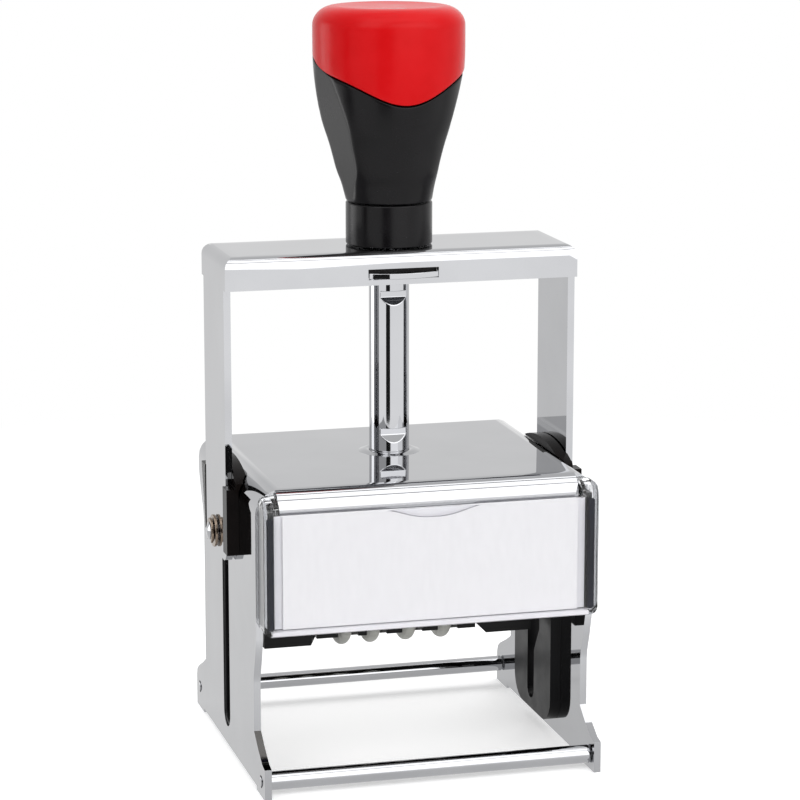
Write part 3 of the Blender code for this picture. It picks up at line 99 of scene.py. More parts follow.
# Die block: how far the chamfer's corner moves in and down, as shares of the chamfer
BLOCK_SQUARED = (0.85, 0.80)

# Yoke: where its rolled edges end, and a dark strip over the latch's slot that paints the shade
# inside the slot
YOKE_FLANGE_BLEND = 0.0056
YOKE_BLEND = 0.0046
SLOT_HALF = 0.0092
SLOT_SHADE_DEPTH = 0.00020
SLOT_SHADE_LOW = 0.1259
SLOT_SHADE_HIGH = 0.1272

# Setting wheels
RIM_WIDTH = 0.0034
RIM_ROUND = 0.0015
RIM_STEPS = 8
WHEEL_DRUM_R = 0.0049
WHEEL_BORE_R = 0.0018
WHEEL_TEETH = 36
WHEEL_TOOTH = 0.00010
TOOTH_COLUMNS = 4

# Label card: the thumb notch and the line of the cut edge
THUMB_HALF = 0.0130
THUMB_DEPTH = 0.0023
THUMB_X = 0.0006
THUMB_POWER = 1.3
THUMB_STEPS = 40
CARD_EDGE_R = 0.00011

# Window cover: a pale strip in its lower wall that paints the highlight of its lower edge, and the
# dark faces in its ends
SILL_HIGHLIGHT_HALF = 0.0408
SILL_HIGHLIGHT_INSET = 0.00012
SILL_HIGHLIGHT_DEPTH = 0.0030
SILL_HIGHLIGHT_HEIGHT = 0.00105
CLIP_FACE = (0.0404, 0.0422)
CLIP_FACE_DEPTH = (0.0004, 0.0011)

# The raised rim round the post, as radii and heights over the hood
POST_RING = ((0.00525, -0.0001), (0.00525, 0.00032), (0.0056, 0.00052), (0.0061, 0.00058),
             (0.0066, 0.00050), (0.0071, 0.00032), (0.0076, 0.00012), (0.0080, 0.00001),
             (0.0080, -0.0001))
POST_RING_COLUMNS = 96
POST_RING_TURN = math.radians(50)

# The handle: radii from the press axis, heights and depths from the ends of its CAD nodes
GRIP_COLUMNS = 144
GRIP_ROWS = 44
CAP_ROWS = 20
SHOULDER_ROWS = 12
GRIP_NECK_R = 0.0110
GRIP_R = 0.0194
GRIP_TOP_R = 0.0136
CAP_SHOULDER = 0.0050
CAP_HEIGHT = 0.0138
CAP_DISH = 0.0004
SEAM_FRONT_DROP = 0.0101
SEAM_BACK_RISE = 0.0048
SEAM_WAVE = 0.0021
SEAM_GAP = 0.00022
SEAM_ROUND = 0.00022
NECK_ROUND = 0.0005
FACET_SOFTNESS = 0.00028
FACET_TURN = math.radians(80)
FACET_REACH = 0.3
HANDLE_SHARP_TURN = math.radians(40)
PROFILE_STEPS = 8
NECK_STEPS = 4
SEAM_STEPS = 3
CAP_TOP_SHARES = (0.93, 0.6, 0.3)
BORE_GAP = 0.0005
ROOF_GAP = 0.0003
GRIP_PROFILE_SHARES = ((0.0, 0.0), (0.101, 0.143), (0.184, 0.321), (0.326, 0.524),
                       (0.449, 0.738), (0.618, 0.893), (0.798, 0.988), (1.0, 1.0))
FACET_SHARES = ((-0.12, -0.02), (0.034, 0.015), (0.12, 0.068), (0.229, 0.165), (0.326, 0.290),
                (0.438, 0.450), (0.618, 0.725), (0.809, 0.985), (0.95, 1.16))

# The photograph's view
VIEW_TURN = math.radians(15.04)
VIEW_DIP = math.radians(11.62)
EYE = (-0.1966, -0.7402, 0.24815)
LENS_MM = 136.16
SENSOR_MM = 36.0
VIEW_FAR = 20.0

# Noise patterns: scale, detail, roughness, stretch
HAZE = (45.0, 4.0)
LONG_WAVE = (70.0, 1.0)
MARKS = (900.0, 3.0, 0.6, (1.0, 0.25, 1.0))
MARKS_SHARE = 0.01
MOTTLE = (160.0, 5.0)
CARD_FIBRES = (700.0, 6.0, 0.65, (1.0, 1.0, 0.35))
CLEAR_FLOW = (120.0, 2.0)
FELT_FIBRES = (1500.0, 6.0, 0.7)

# Metal finishes: name, dark and light tint, least and most roughness, depth of the waves
METALS = {
    "chrome": ("chrome", (0.400, 0.404, 0.418), (0.440, 0.444, 0.458), 0.020, 0.045, 0.000007),
    "steel": ("plain_steel", (0.40, 0.38, 0.35), (0.56, 0.54, 0.51), 0.16, 0.28, 0.00002),
    "browned": ("browned_steel", (0.16, 0.12, 0.09), (0.34, 0.27, 0.21), 0.14, 0.24, 0.00002),
}

# Moulded finishes: name, dark and light tint, least and most roughness, grain's scale and
# depth, shine
MOULDED = {
    "gloss_black": ("glossy_black", (0.0034, 0.0030, 0.0036), (0.0056, 0.0050, 0.0060),
                    0.20, 0.28, 1800.0, 0.000005, 0.16),
    "black": ("satin_black", (0.0020, 0.0020, 0.0025), (0.0050, 0.0048, 0.0055),
              0.30, 0.42, 2600.0, 0.00001, 0.16),
    "red": ("red_plastic", (0.690, 0.004, 0.006), (0.730, 0.007, 0.010),
            0.20, 0.27, 2200.0, 0.000004, 0.10),
    "off_white": ("off_white", (0.56, 0.56, 0.52), (0.66, 0.66, 0.61),
                  0.38, 0.52, 1200.0, 0.00002, 0.4),
    "backing": ("white_backing", (0.82, 0.81, 0.85), (0.87, 0.86, 0.89),
                0.30, 0.42, 1200.0, 0.00001, 0.4),
    "belt": ("dark_belt", (0.008, 0.007, 0.007), (0.015, 0.013, 0.013),
             0.45, 0.6, 1500.0, 0.00003, 0.2),
    "fin": ("brown_black", (0.0045, 0.0034, 0.0032), (0.0080, 0.0060, 0.0056),
            0.14, 0.20, 1800.0, 0.000004, 0.05),
    "navy": ("navy_black", (0.006, 0.007, 0.013), (0.010, 0.011, 0.020),
             0.3, 0.4, 1800.0, 0.000005, 0.1),
    "card_edge": ("card_edge", (0.30, 0.29, 0.33), (0.36, 0.35, 0.39),
                  0.5, 0.6, 1500.0, 0.00001, 0.2),
    "rubber": ("red_rubber", (0.36, 0.040, 0.030), (0.50, 0.065, 0.050),
               0.55, 0.75, 1500.0, 0.00004, 0.3),
}

# Card, clear plastic and felt
CARD_TINTS = ((0.850, 0.838, 0.855), (0.890, 0.878, 0.895))
CARD_GRAIN = 0.00002
CLEAR_TINT = (0.965, 0.972, 0.985, 1.0)
CLEAR_ROUGH = (0.005, 0.02)
CLEAR_WAVE = 0.000012
FELT_TINTS = ((0.020, 0.015, 0.060), (0.075, 0.060, 0.160))
FELT_PILE = 0.00015

# Whites and blacks of the studio
WHITE = (1.0, 1.0, 1.0, 1.0)
FLOOR_WHITE = (0.90, 0.90, 0.90, 1.0)
FLAG_BLACK = (0.01, 0.01, 0.01, 1.0)

# The studio: strengths as light, as seen and as mirrored, and the floor's bounds
WORLD_LIT = 0.5
MIRRORED_BACK = 0.92
MIRRORED_FRONT = 1.50
MIRRORED_TURN = (-0.14, -0.03)
MIRRORED_PLAIN = 0.8
FLOOR_LIFT = 0.45
FLOOR_FADE = (0.13, 0.42)
FLOOR_SIDE = 8.0

# Lamps: name, place, size, power.  Cards: name, place, point that they face, size, strength.
LAMP_TARGET = (0.0, 0.0, 0.08)
LAMPS = (
    ("front_box", (0.29, -0.90, 0.74), (1.0, 0.50), 3.8),
    ("top_box", (0.26, 0.55, 0.98), (1.0, 0.60), 4.4),
    ("key", (-0.90, -0.90, 1.00), (0.9, 0.90), 5.0),
    ("fill", (1.00, -0.80, 0.60), (0.8, 0.80), 2.4),
)
UNMIRRORED = ("top_box",)
CARDS = (
    ("flag_front", (-0.140, -0.375, 0.12), (0.0, 0.0, 0.12), (0.163, 0.24), 0.0),
    ("flag_line", (0.12, -0.073, 0.86), (0.12, -0.17, 0.08), (1.3, 0.06), 0.0),
    ("flag_side", (-0.394, -0.070, 0.10), (0.0, 0.0, 0.10), (0.07, 0.20), 0.0),
    ("card_top", (0.12, -0.255, 0.95), (0.12, -0.30, 0.08), (1.3, 0.69), 2.5),
    ("card_left", (-0.298, 0.201, 0.13), (0.0, 0.0, 0.13), (0.15, 0.28), 3.2),
    ("card_collar", (-0.351, 0.081, 0.066), (0.0, 0.0, 0.12), (0.13, 0.05), 2.6),
    ("card_front", (0.25, -0.86, 0.27), (0.0, -0.04, 0.10), (0.70, 0.46), 2.6),
)


def material(name, **values):
    """Return a new Principled material, its nodes, its links and its shader.

    The values are set on the shader's sockets of the same names.
    """
    made = bpy.data.materials.new(name)
    made.use_nodes = True
    nodes = made.node_tree.nodes
    shader = nodes["Principled BSDF"]
    for label, value in values.items():
        shader.inputs[label.replace("_", " ")].default_value = value
    return made, nodes, made.node_tree.links, shader


def noise(nodes, links, scale, detail=2.0, roughness=0.5, stretch=(1.0, 1.0, 1.0)):
    """Add noise in the piece's own space and return its factor socket."""
    place = nodes.new("ShaderNodeTexCoord")
    mapping = nodes.new("ShaderNodeMapping")
    mapping.inputs["Scale"].default_value = stretch
    links.new(place.outputs["Object"], mapping.inputs["Vector"])
    texture = nodes.new("ShaderNodeTexNoise")
    texture.inputs["Scale"].default_value = scale
    texture.inputs["Detail"].default_value = detail
    texture.inputs["Roughness"].default_value = roughness
    links.new(mapping.outputs["Vector"], texture.inputs["Vector"])
    return texture.outputs["Fac"]


def spread(nodes, links, source, low, high, start=0.3, stop=0.7):
    """Map a factor between two numbers."""
    ramp = nodes.new("ShaderNodeMapRange")
    ramp.inputs["From Min"].default_value = start
    ramp.inputs["From Max"].default_value = stop
    ramp.inputs["To Min"].default_value = low
    ramp.inputs["To Max"].default_value = high
    links.new(source, ramp.inputs["Value"])
    return ramp.outputs["Result"]


def tints(nodes, links, source, dark, light, start=0.3, stop=0.7):
    """Map a factor between two colours."""
    ramp = nodes.new("ShaderNodeValToRGB")
    ramp.color_ramp.elements[0].position = start
    ramp.color_ramp.elements[0].color = (*dark, 1.0)
    ramp.color_ramp.elements[1].position = stop
    ramp.color_ramp.elements[1].color = (*light, 1.0)
    links.new(source, ramp.inputs["Fac"])
    return ramp.outputs["Color"]


def bump(nodes, links, shader, source, depth, strength=1.0, under=None):
    """Add a bump of a real depth to the shader, over another if one is given."""
    step = nodes.new("ShaderNodeBump")
    step.inputs["Distance"].default_value = depth
    step.inputs["Strength"].default_value = strength
    links.new(source, step.inputs["Height"])
    if under is not None:
        links.new(under, step.inputs["Normal"])
    links.new(step.outputs["Normal"], shader.inputs["Normal"])
    return step.outputs["Normal"]


def mix_shaders(nodes, links, factor, first, second):
    """Let the surface change from the first shader to the second by a factor."""
    mix = nodes.new("ShaderNodeMixShader")
    links.new(factor, mix.inputs["Fac"])
    links.new(first, mix.inputs[1])
    links.new(second, mix.inputs[2])
    links.new(mix.outputs["Shader"], nodes["Material Output"].inputs["Surface"])


def metal_finish(name, dark, light, rough_low, rough_high, wave):
    """Plated steel: a faint haze, long waves in the sheet and fine polishing marks."""
    made, nodes, links, shader = material(name, Metallic=1.0)
    haze = noise(nodes, links, *HAZE)
    links.new(tints(nodes, links, haze, dark, light), shader.inputs["Base Color"])
    links.new(spread(nodes, links, haze, rough_low, rough_high), shader.inputs["Roughness"])
    first = bump(nodes, links, shader, noise(nodes, links, *LONG_WAVE), wave)
    bump(nodes, links, shader, noise(nodes, links, *MARKS), wave * MARKS_SHARE, under=first)
    return made


def moulded_finish(name, dark, light, rough_low, rough_high, grain, depth, shine):
    """Moulded plastic: a fine grain, slight mottling and uneven gloss."""
    made, nodes, links, shader = material(name, Specular_IOR_Level=shine)
    mottle = noise(nodes, links, *MOTTLE)
    links.new(tints(nodes, links, mottle, dark, light), shader.inputs["Base Color"])
    links.new(spread(nodes, links, mottle, rough_low, rough_high), shader.inputs["Roughness"])
    bump(nodes, links, shader, noise(nodes, links, grain), depth)
    return made


def card_finish():
    """White card with faint fibres."""
    made, nodes, links, shader = material("card", Roughness=0.62, Specular_IOR_Level=0.3)
    fibres = noise(nodes, links, *CARD_FIBRES)
    links.new(tints(nodes, links, fibres, *CARD_TINTS), shader.inputs["Base Color"])
    bump(nodes, links, shader, fibres, CARD_GRAIN)
    return made


def clear_finish():
    """Clear moulded styrene, which lets the light through to the card."""
    made, nodes, links, shader = material("clear_plastic", IOR=1.33, Transmission_Weight=1.0,
                                          Base_Color=CLEAR_TINT)
    flow = noise(nodes, links, *CLEAR_FLOW)
    links.new(spread(nodes, links, flow, *CLEAR_ROUGH), shader.inputs["Roughness"])
    bump(nodes, links, shader, flow, CLEAR_WAVE)
    rays = nodes.new("ShaderNodeLightPath")
    either = maths(nodes, links, "MAXIMUM", rays.outputs["Is Shadow Ray"],
                   rays.outputs["Is Diffuse Ray"])
    through = nodes.new("ShaderNodeBsdfTransparent")
    mix_shaders(nodes, links, either, shader.outputs["BSDF"], through.outputs["BSDF"])
    return made


def felt_finish():
    """Felt soaked with violet ink."""
    made, nodes, links, shader = material("felt", Roughness=0.95, Sheen_Weight=0.4)
    fibres = noise(nodes, links, *FELT_FIBRES)
    links.new(tints(nodes, links, fibres, *FELT_TINTS), shader.inputs["Base Color"])
    bump(nodes, links, shader, fibres, FELT_PILE)
    return made


def make_finishes():
    """Return the finishes: one for each of the record's slots, and looks of single pieces."""
    made = {look: metal_finish(*values) for look, values in METALS.items()}
    made.update({look: moulded_finish(*values) for look, values in MOULDED.items()})
    made.update({"card": card_finish(), "clear": clear_finish(), "felt": felt_finish()})
    return made


def clean_mesh(node):
    """Return a CAD node's shape with its flat faces whole and its normals plain."""
    shape = bmesh.new()
    shape.from_mesh(frame["nodes"][node].data)
    bmesh.ops.remove_doubles(shape, verts=shape.verts, dist=WELD)
    bmesh.ops.dissolve_limit(shape, angle_limit=FLAT_TURN, verts=shape.verts, edges=shape.edges)
    shape.verts.index_update()
    corners = [tuple(vert.co) for vert in shape.verts]
    faces = [[vert.index for vert in face.verts] for face in shape.faces]
    shape.free()
    mesh = bpy.data.meshes.new(node + "_skin")
    mesh.from_pydata(corners, [], faces)
    return mesh


def shade(mesh, angle=SHARP_TURN):
    """Shade smoothly, but keep the edges sharp that turn by more than an angle."""
    mesh.shade_smooth()
    mesh.set_sharp_from_angle(angle=angle)


def even_normals(piece):
    """Let the large flat faces set the normals, so that they reflect flat."""
    weighting = piece.modifiers.new("flat_faces", "WEIGHTED_NORMAL")
    weighting.mode = "FACE_AREA"
    weighting.weight = FLAT_WEIGHT
    weighting.keep_sharp = True


def body_of(node):
    """Return the name of the body that a CAD node rides on."""
    return frame["nodes"][node]["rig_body"]


def settle(piece, slot_name, *nodes, look=None):
    """Give a piece its finish and let it ride on the body of the nodes that it stands for."""
    piece.data.materials.clear()
    piece.data.materials.append(finishes[look or slot_name])
    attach(piece, body_of(nodes[0]))
    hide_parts(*nodes)
    return piece


def place_mesh(name, mesh):
    """Link a new object that holds the mesh."""
    piece = bpy.data.objects.new(name, mesh)
    bpy.context.scene.collection.objects.link(piece)
    return piece


def place_shape(name, shape):
    """Link a new object with the edited shape as its mesh, and free the shape."""
    mesh = bpy.data.meshes.new(name)
    shape.to_mesh(mesh)
    shape.free()
    return place_mesh(name, mesh)


def cut_lines(shape, cuts):
    """Add edge lines where planes, each a point and a normal, cut the shape."""
    for point, normal in cuts:
        bmesh.ops.bisect_plane(shape, geom=[*shape.verts, *shape.edges, *shape.faces],
                               plane_co=point, plane_no=normal)


def add_strip(name, low, high, edge, look, node):
    """Add a box with rounded edges that rides along with a CAD node."""
    shape = bmesh.new()
    bmesh.ops.create_cube(shape, size=1.0)
    bmesh.ops.scale(shape, vec=[b - a for a, b in zip(low, high)], verts=shape.verts)
    bmesh.ops.translate(shape, vec=[(a + b) / 2 for a, b in zip(low, high)], verts=shape.verts)
    bmesh.ops.bevel(shape, geom=list(shape.edges), offset=edge, segments=EDGE_STEPS,
                    affect="EDGES")
    piece = place_shape(name, shape)
    piece.data.materials.append(finishes[look])
    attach(piece, body_of(node))


def dress(node, slot_name, edge, look=None, rework=None, flat=True):
    """Replace a CAD node by its refined skin with rounded edges; rework changes its mesh first."""
    mesh = clean_mesh(node)
    if rework is not None:
        shape = bmesh.new()
        shape.from_mesh(mesh)
        rework(shape)
        shape.to_mesh(mesh)
        shape.free()
    shade(mesh)
    piece = place_mesh(node + "_skin", mesh)
    if edge > 0:
        rounding = piece.modifiers.new("rounding", "BEVEL")
        rounding.width = edge
        rounding.segments = EDGE_STEPS
        rounding.limit_method = "ANGLE"
        rounding.angle_limit = SHARP_TURN
        rounding.use_clamp_overlap = True
    if flat:
        even_normals(piece)
    return settle(piece, slot_name, node, look=look)


def close_guide_gap(shape):
    """Let a cam guide's back lie on the side plate."""
    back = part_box("frame_shell")[1].x - SHEET
    for vert in shape.verts:
        if abs(abs(vert.co.x) - (back - GUIDE_GAP)) < NEAR:
            vert.co.x = math.copysign(back - TOUCH, vert.co.x)


def fit_leg_guide(shape):
    """Lay a leg guide on the hood's side, and keep its rear lip close and narrow."""
    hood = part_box("frame_shell")[1]
    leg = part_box("yoke_frame")[1].x
    lip_top = hood.z - LIP_TOP_DROP
    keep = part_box("leg_guide_left")[1].y - (REAR_LIP_WIDTH - REAR_LIP)
    cut_lines(shape, (((0.0, keep, 0.0), (0.0, 1.0, 0.0)), ((0.0, 0.0, lip_top), (0.0, 0.0, 1.0))))
    gone = [face for face in shape.faces
            if face.calc_center_median().y > keep + WELD
            and face.calc_center_median().z < lip_top - WELD
            and abs(face.calc_center_median().x) > hood.x + LIP_FROM - WELD]
    bmesh.ops.delete(shape, geom=gone, context="FACES")
    bmesh.ops.holes_fill(shape, edges=[edge for edge in shape.edges if edge.is_boundary])
    bmesh.ops.recalc_face_normals(shape, faces=shape.faces)
    for vert in shape.verts:
        across = abs(vert.co.x)
        if abs(across - hood.x - GUIDE_GAP) < NEAR:
            vert.co.x = math.copysign(hood.x + TOUCH, vert.co.x)
        elif across > leg + REAR_LIP_PROUD and vert.co.y > keep - REAR_LIP - NEAR:
            vert.co.x = math.copysign(leg + REAR_LIP_PROUD, vert.co.x)


def square_block(shape):
    """Square the inner end of the die block's left foot."""
    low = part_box("die_holder")[0].z
    for vert in shape.verts:
        if abs(vert.co.x + BLOCK_IN) < NEAR and abs(vert.co.z - low - BLOCK_CHAMFER) < NEAR:
            vert.co.x -= BLOCK_CHAMFER * BLOCK_SQUARED[0]
            vert.co.z -= BLOCK_CHAMFER * BLOCK_SQUARED[1]


def frame_rolls(shape):
    """Add lines beside the yoke's rolled edges, so that the rolls blend softly into the flats."""
    low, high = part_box("yoke_frame")
    cut_lines(shape, (((0.0, 0.0, high.z - YOKE_FLANGE_BLEND), (0.0, 0.0, 1.0)),
                      ((0.0, low.y + YOKE_BLEND, 0.0), (0.0, 1.0, 0.0)),
                      ((0.0, high.y - YOKE_BLEND, 0.0), (0.0, 1.0, 0.0)),
                      ((low.x + YOKE_BLEND, 0.0, 0.0), (1.0, 0.0, 0.0)),
                      ((high.x - YOKE_BLEND, 0.0, 0.0), (1.0, 0.0, 0.0))))


def make_slot_shade_strip():
    """A dark strip behind the slot of the latch's tab: painted shade where the inside of the slot
    looks dark.
    """
    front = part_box("yoke_frame")[0].y + SHEET + TOUCH
    add_strip("slot_painted_shade", (-SLOT_HALF, front, SLOT_SHADE_LOW), (SLOT_HALF, front + SLOT_SHADE_DEPTH, SLOT_SHADE_HIGH),
              SLOT_SHADE_DEPTH / 4, "belt", "yoke_frame")


def turned_on_x(name, profile, centre, columns, tooth):
    """Turn a closed profile of (x, radius, share of the tooth) points about an axis along X."""
    shape = bmesh.new()
    rows = []
    for x, radius, share in profile:
        rows.append([])
        for at in range(columns):
            turn = 2 * math.pi * at / columns
            out = radius - (tooth * share if 2 * (at % TOOTH_COLUMNS) >= TOOTH_COLUMNS else 0.0)
            rows[-1].append(shape.verts.new((x, centre[0] + out * math.cos(turn),
                                             centre[1] + out * math.sin(turn))))
    for at, row in enumerate(rows):
        after = rows[(at + 1) % len(rows)]
        for column in range(columns):
            other = (column + 1) % columns
            shape.faces.new((row[column], row[other], after[other], after[column]))
    bmesh.ops.recalc_face_normals(shape, faces=shape.faces)
    return place_shape(name, shape)


def make_wheel(node):
    """A setting wheel: a full-round toothed rim beside the drum that drives the band."""
    low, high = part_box(node)
    radius = (high.z - low.z) / 2
    rim_high = low.x + RIM_WIDTH
    middle = low.x + RIM_WIDTH / 2
    profile = [(low.x, WHEEL_BORE_R, 0.0), (low.x, radius - RIM_ROUND, 0.0)]
    for step in range(1, RIM_STEPS):
        lift = math.pi * step / RIM_STEPS
        profile.append((middle - RIM_WIDTH / 2 * math.cos(lift),
                        radius - RIM_ROUND * (1 - math.sin(lift)), math.sin(lift)))
    profile += [(rim_high, radius - RIM_ROUND, 0.0), (rim_high, WHEEL_DRUM_R, 0.0),
                (high.x, WHEEL_DRUM_R, 0.0), (high.x, WHEEL_BORE_R, 0.0)]
    wheel = turned_on_x(node + "_skin", profile, ((low.y + high.y) / 2, (low.z + high.z) / 2),
                        WHEEL_TEETH * TOOTH_COLUMNS, WHEEL_TOOTH)
    shade(wheel.data)
    settle(wheel, "off_white", node)


def make_label():
    """The card with its thumb notch, and the fine line that its cut edge shows."""
    low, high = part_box("label_card")
    notch = []
    for at in range(THUMB_STEPS + 1):
        x = THUMB_X + THUMB_HALF * (1 - 2 * at / THUMB_STEPS)
        away = abs(x - THUMB_X) / THUMB_HALF
        share = (1 + math.cos(math.pi * away ** THUMB_POWER)) / 2
        notch.append((x, high.z - THUMB_DEPTH * share))
    top = [(high.x, high.z), *notch, (low.x, high.z)]
    outline = [(low.x, low.z), (high.x, low.z), *top]
    shape = bmesh.new()
    front = [shape.verts.new((x, low.y, z)) for x, z in outline]
    back = [shape.verts.new((x, high.y, z)) for x, z in outline]
    shape.faces.new(front)
    shape.faces.new(back[::-1])
    for at, corner in enumerate(front):
        after = (at + 1) % len(front)
        shape.faces.new((front[after], corner, back[at], back[after]))
    bmesh.ops.recalc_face_normals(shape, faces=shape.faces)
    settle(place_shape("label_card_skin", shape), "card", "label_card")
    line = bpy.data.curves.new("label_card_edge", "CURVE")
    line.dimensions = "3D"
    line.bevel_depth = CARD_EDGE_R
    line.bevel_resolution = 2
    spline = line.splines.new("POLY")
    spline.points.add(len(top) - 1)
    for point, (x, z) in zip(spline.points, top):
        point.co = (x, low.y, z, 1.0)
    settle(place_mesh("label_card_edge", line), "card", "label_card", look="card_edge")


def make_sill_highlight():
    """A pale strip in the lower wall of the cover: a painted highlight on the cover's lower edge.
    """
    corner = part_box("window_cover")[0]
    front, floor_z = corner.y + SILL_HIGHLIGHT_INSET, corner.z + SILL_HIGHLIGHT_INSET
    add_strip("window_sill_painted_highlight", (-SILL_HIGHLIGHT_HALF, front, floor_z),
              (SILL_HIGHLIGHT_HALF, front + SILL_HIGHLIGHT_DEPTH, floor_z + SILL_HIGHLIGHT_HEIGHT), FINE_EDGE, "backing",
              "window_cover")


def make_clip_faces():
    """The dark faces that show in the ends of the clear cover."""
    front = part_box("window_cover")[0].y
    card_low, card_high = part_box("label_card")
    near, far = CLIP_FACE_DEPTH
    for name, start, stop in (("left", -CLIP_FACE[1], -CLIP_FACE[0]), ("right", *CLIP_FACE)):
        add_strip("clip_face_" + name, (start, front + near, card_low.z),
                  (stop, front + far, card_high.z), MOULD_EDGE, "navy", "window_cover")


def make_post_ring():
    """The rolled rim of the hood's hole round the post."""
    low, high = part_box("centre_post")
    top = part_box("frame_shell")[1].z
    turns = [2 * math.pi * at / POST_RING_COLUMNS for at in range(POST_RING_COLUMNS)]
    rings = [[(turn, radius, top + height) for turn in turns] for radius, height in POST_RING]
    ring = skin_rings("post_rim", rings, (low.y + high.y) / 2)
    shade(ring.data, POST_RING_TURN)
    ring.data.materials.append(finishes["chrome"])
    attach(ring, body_of("frame_shell"))


def smooth_through(points, steps):
    """Return a Catmull-Rom line through the points."""
    line = []
    count = len(points)
    for at in range(count - 1):
        a, b, c, d = (Vector(points[max(0, min(count - 1, at + shift))])
                      for shift in (-1, 0, 1, 2))
        for step in range(steps):
            t = step / steps
            line.append(0.5 * (2 * b + (c - a) * t + (2 * a - 5 * b + 4 * c - d) * t ** 2
                               + (3 * b - a - 3 * c + d) * t ** 3))
    line.append(Vector(points[-1]))
    return line


def read_line(line, height):
    """Return the distance at a height on a line of (distance, height) points."""
    for lower, upper in zip(line, line[1:]):
        if height <= upper.y:
            share = (height - lower.y) / (upper.y - lower.y)
            return lower.x + (upper.x - lower.x) * max(0.0, share)
    return line[-1].x


def soft_least(first, second, softness):
    """Return the lesser of two numbers, with a soft change-over."""
    near = max(softness - abs(first - second), 0.0) / softness
    return min(first, second) - near * near * softness / 4


class Handle:
    """The outer form of the handle, from the boxes of its CAD nodes."""

    def __init__(self):
        low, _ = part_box("grip_body")
        _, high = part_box("grip_cap")
        front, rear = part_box("handle_collar")
        left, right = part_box("spring_plunger")
        self.axis_y = (front.y + rear.y) / 2
        self.bore = (right.x - left.x) / 2 + BORE_GAP
        self.roof = right.z + ROOF_GAP
        self.turns = [2 * math.pi * at / GRIP_COLUMNS for at in range(GRIP_COLUMNS)]
        self.low, self.high = low.z, high.z
        self.shoulder = self.high - CAP_SHOULDER
        self.seam_middle = self.high - CAP_HEIGHT
        rise, widening = self.shoulder - self.low, GRIP_R - GRIP_NECK_R
        self.profile = smooth_through([(GRIP_NECK_R + widening * wide, self.low + rise * up)
                                       for up, wide in GRIP_PROFILE_SHARES],
                                      PROFILE_STEPS)
        self.facet = smooth_through([(GRIP_NECK_R + widening * wide, self.low + rise * up)
                                     for up, wide in FACET_SHARES], PROFILE_STEPS)

    def seam(self, turn):
        """The height of the seam at a turn counted from the front."""
        front = math.cos(turn) > 0
        swing = SEAM_FRONT_DROP if front else SEAM_BACK_RISE
        wave = SEAM_WAVE if front else 0.0
        return self.seam_middle - swing * math.cos(turn) + wave * math.sin(2 * turn) ** 2

    def bore_ring(self, gap):
        """The ring in which a piece's seam face meets the bore."""
        return [(turn, self.bore, (self.seam(turn) + self.seam_middle) / 2 + gap)
                for turn in self.turns]

    def radius(self, turn, height, faceted=True):
        """The outside radius at a turn and a height, with or without the side facets."""
        out = read_line(self.profile, height)
        if faceted:
            for side in (-1, 1):
                lean = math.cos(turn - side * FACET_TURN)
                if lean > FACET_REACH:
                    out = soft_least(out, read_line(self.facet, height) / lean, FACET_SOFTNESS)
        return out


def skin_rings(name, rings, axis_y):
    """Skin a closed stack of rings, each a list of (turn, radius, height); radius 0 is a pole."""
    shape = bmesh.new()
    rows = []
    for ring in rings:
        if ring[0][1] == 0:
            rows.append([shape.verts.new((0.0, axis_y, ring[0][2]))])
        else:
            rows.append([shape.verts.new((radius * math.sin(turn),
                                          axis_y - radius * math.cos(turn), height))
                         for turn, radius, height in ring])
    pairs = list(zip(rows, rows[1:]))
    if len(rows[0]) > 1 and len(rows[-1]) > 1:
        pairs.append((rows[-1], rows[0]))
    for lower, upper in pairs:
        count = max(len(lower), len(upper))
        for at in range(count):
            after = (at + 1) % count
            corners = [lower[at % len(lower)], lower[after % len(lower)],
                       upper[after % len(upper)], upper[at % len(upper)]]
            shape.faces.new([corner for place, corner in enumerate(corners)
                             if corner not in corners[:place]])
    bmesh.ops.recalc_face_normals(shape, faces=shape.faces)
    return place_shape(name, shape)


def make_grip(handle):
    """The black grip: a widening shaft with a soft-edged facet on each side."""
    turns = handle.turns
    rings = [[(turn, handle.bore, handle.low) for turn in turns]]
    for step in range(NECK_STEPS + 1):
        lift = math.pi / 2 * step / NECK_STEPS
        inset = NECK_ROUND * (1 - math.sin(lift))
        height = handle.low + NECK_ROUND * (1 - math.cos(lift))
        rings.append([(turn, handle.radius(turn, height) - inset, height) for turn in turns])
    start = handle.low + NECK_ROUND
    for row in range(1, GRIP_ROWS):
        share = row / GRIP_ROWS
        rings.append([(turn, handle.radius(turn, height), height) for turn, height in
                      ((turn, start + (handle.seam(turn) - SEAM_GAP - SEAM_ROUND - start) * share)
                       for turn in turns)])
    for step in range(SEAM_STEPS + 1):
        lift = math.pi / 2 * step / SEAM_STEPS
        rings.append([(turn, handle.radius(turn, height) - SEAM_ROUND * (1 - math.cos(lift)),
                       height) for turn, height in
                      ((turn, handle.seam(turn) - SEAM_GAP - SEAM_ROUND * (1 - math.sin(lift)))
                       for turn in turns)])
    rings.append(handle.bore_ring(-SEAM_GAP))
    grip = skin_rings("grip_body_skin", rings, handle.axis_y)
    shade(grip.data, HANDLE_SHARP_TURN)
    settle(grip, "gloss_black", "grip_body")


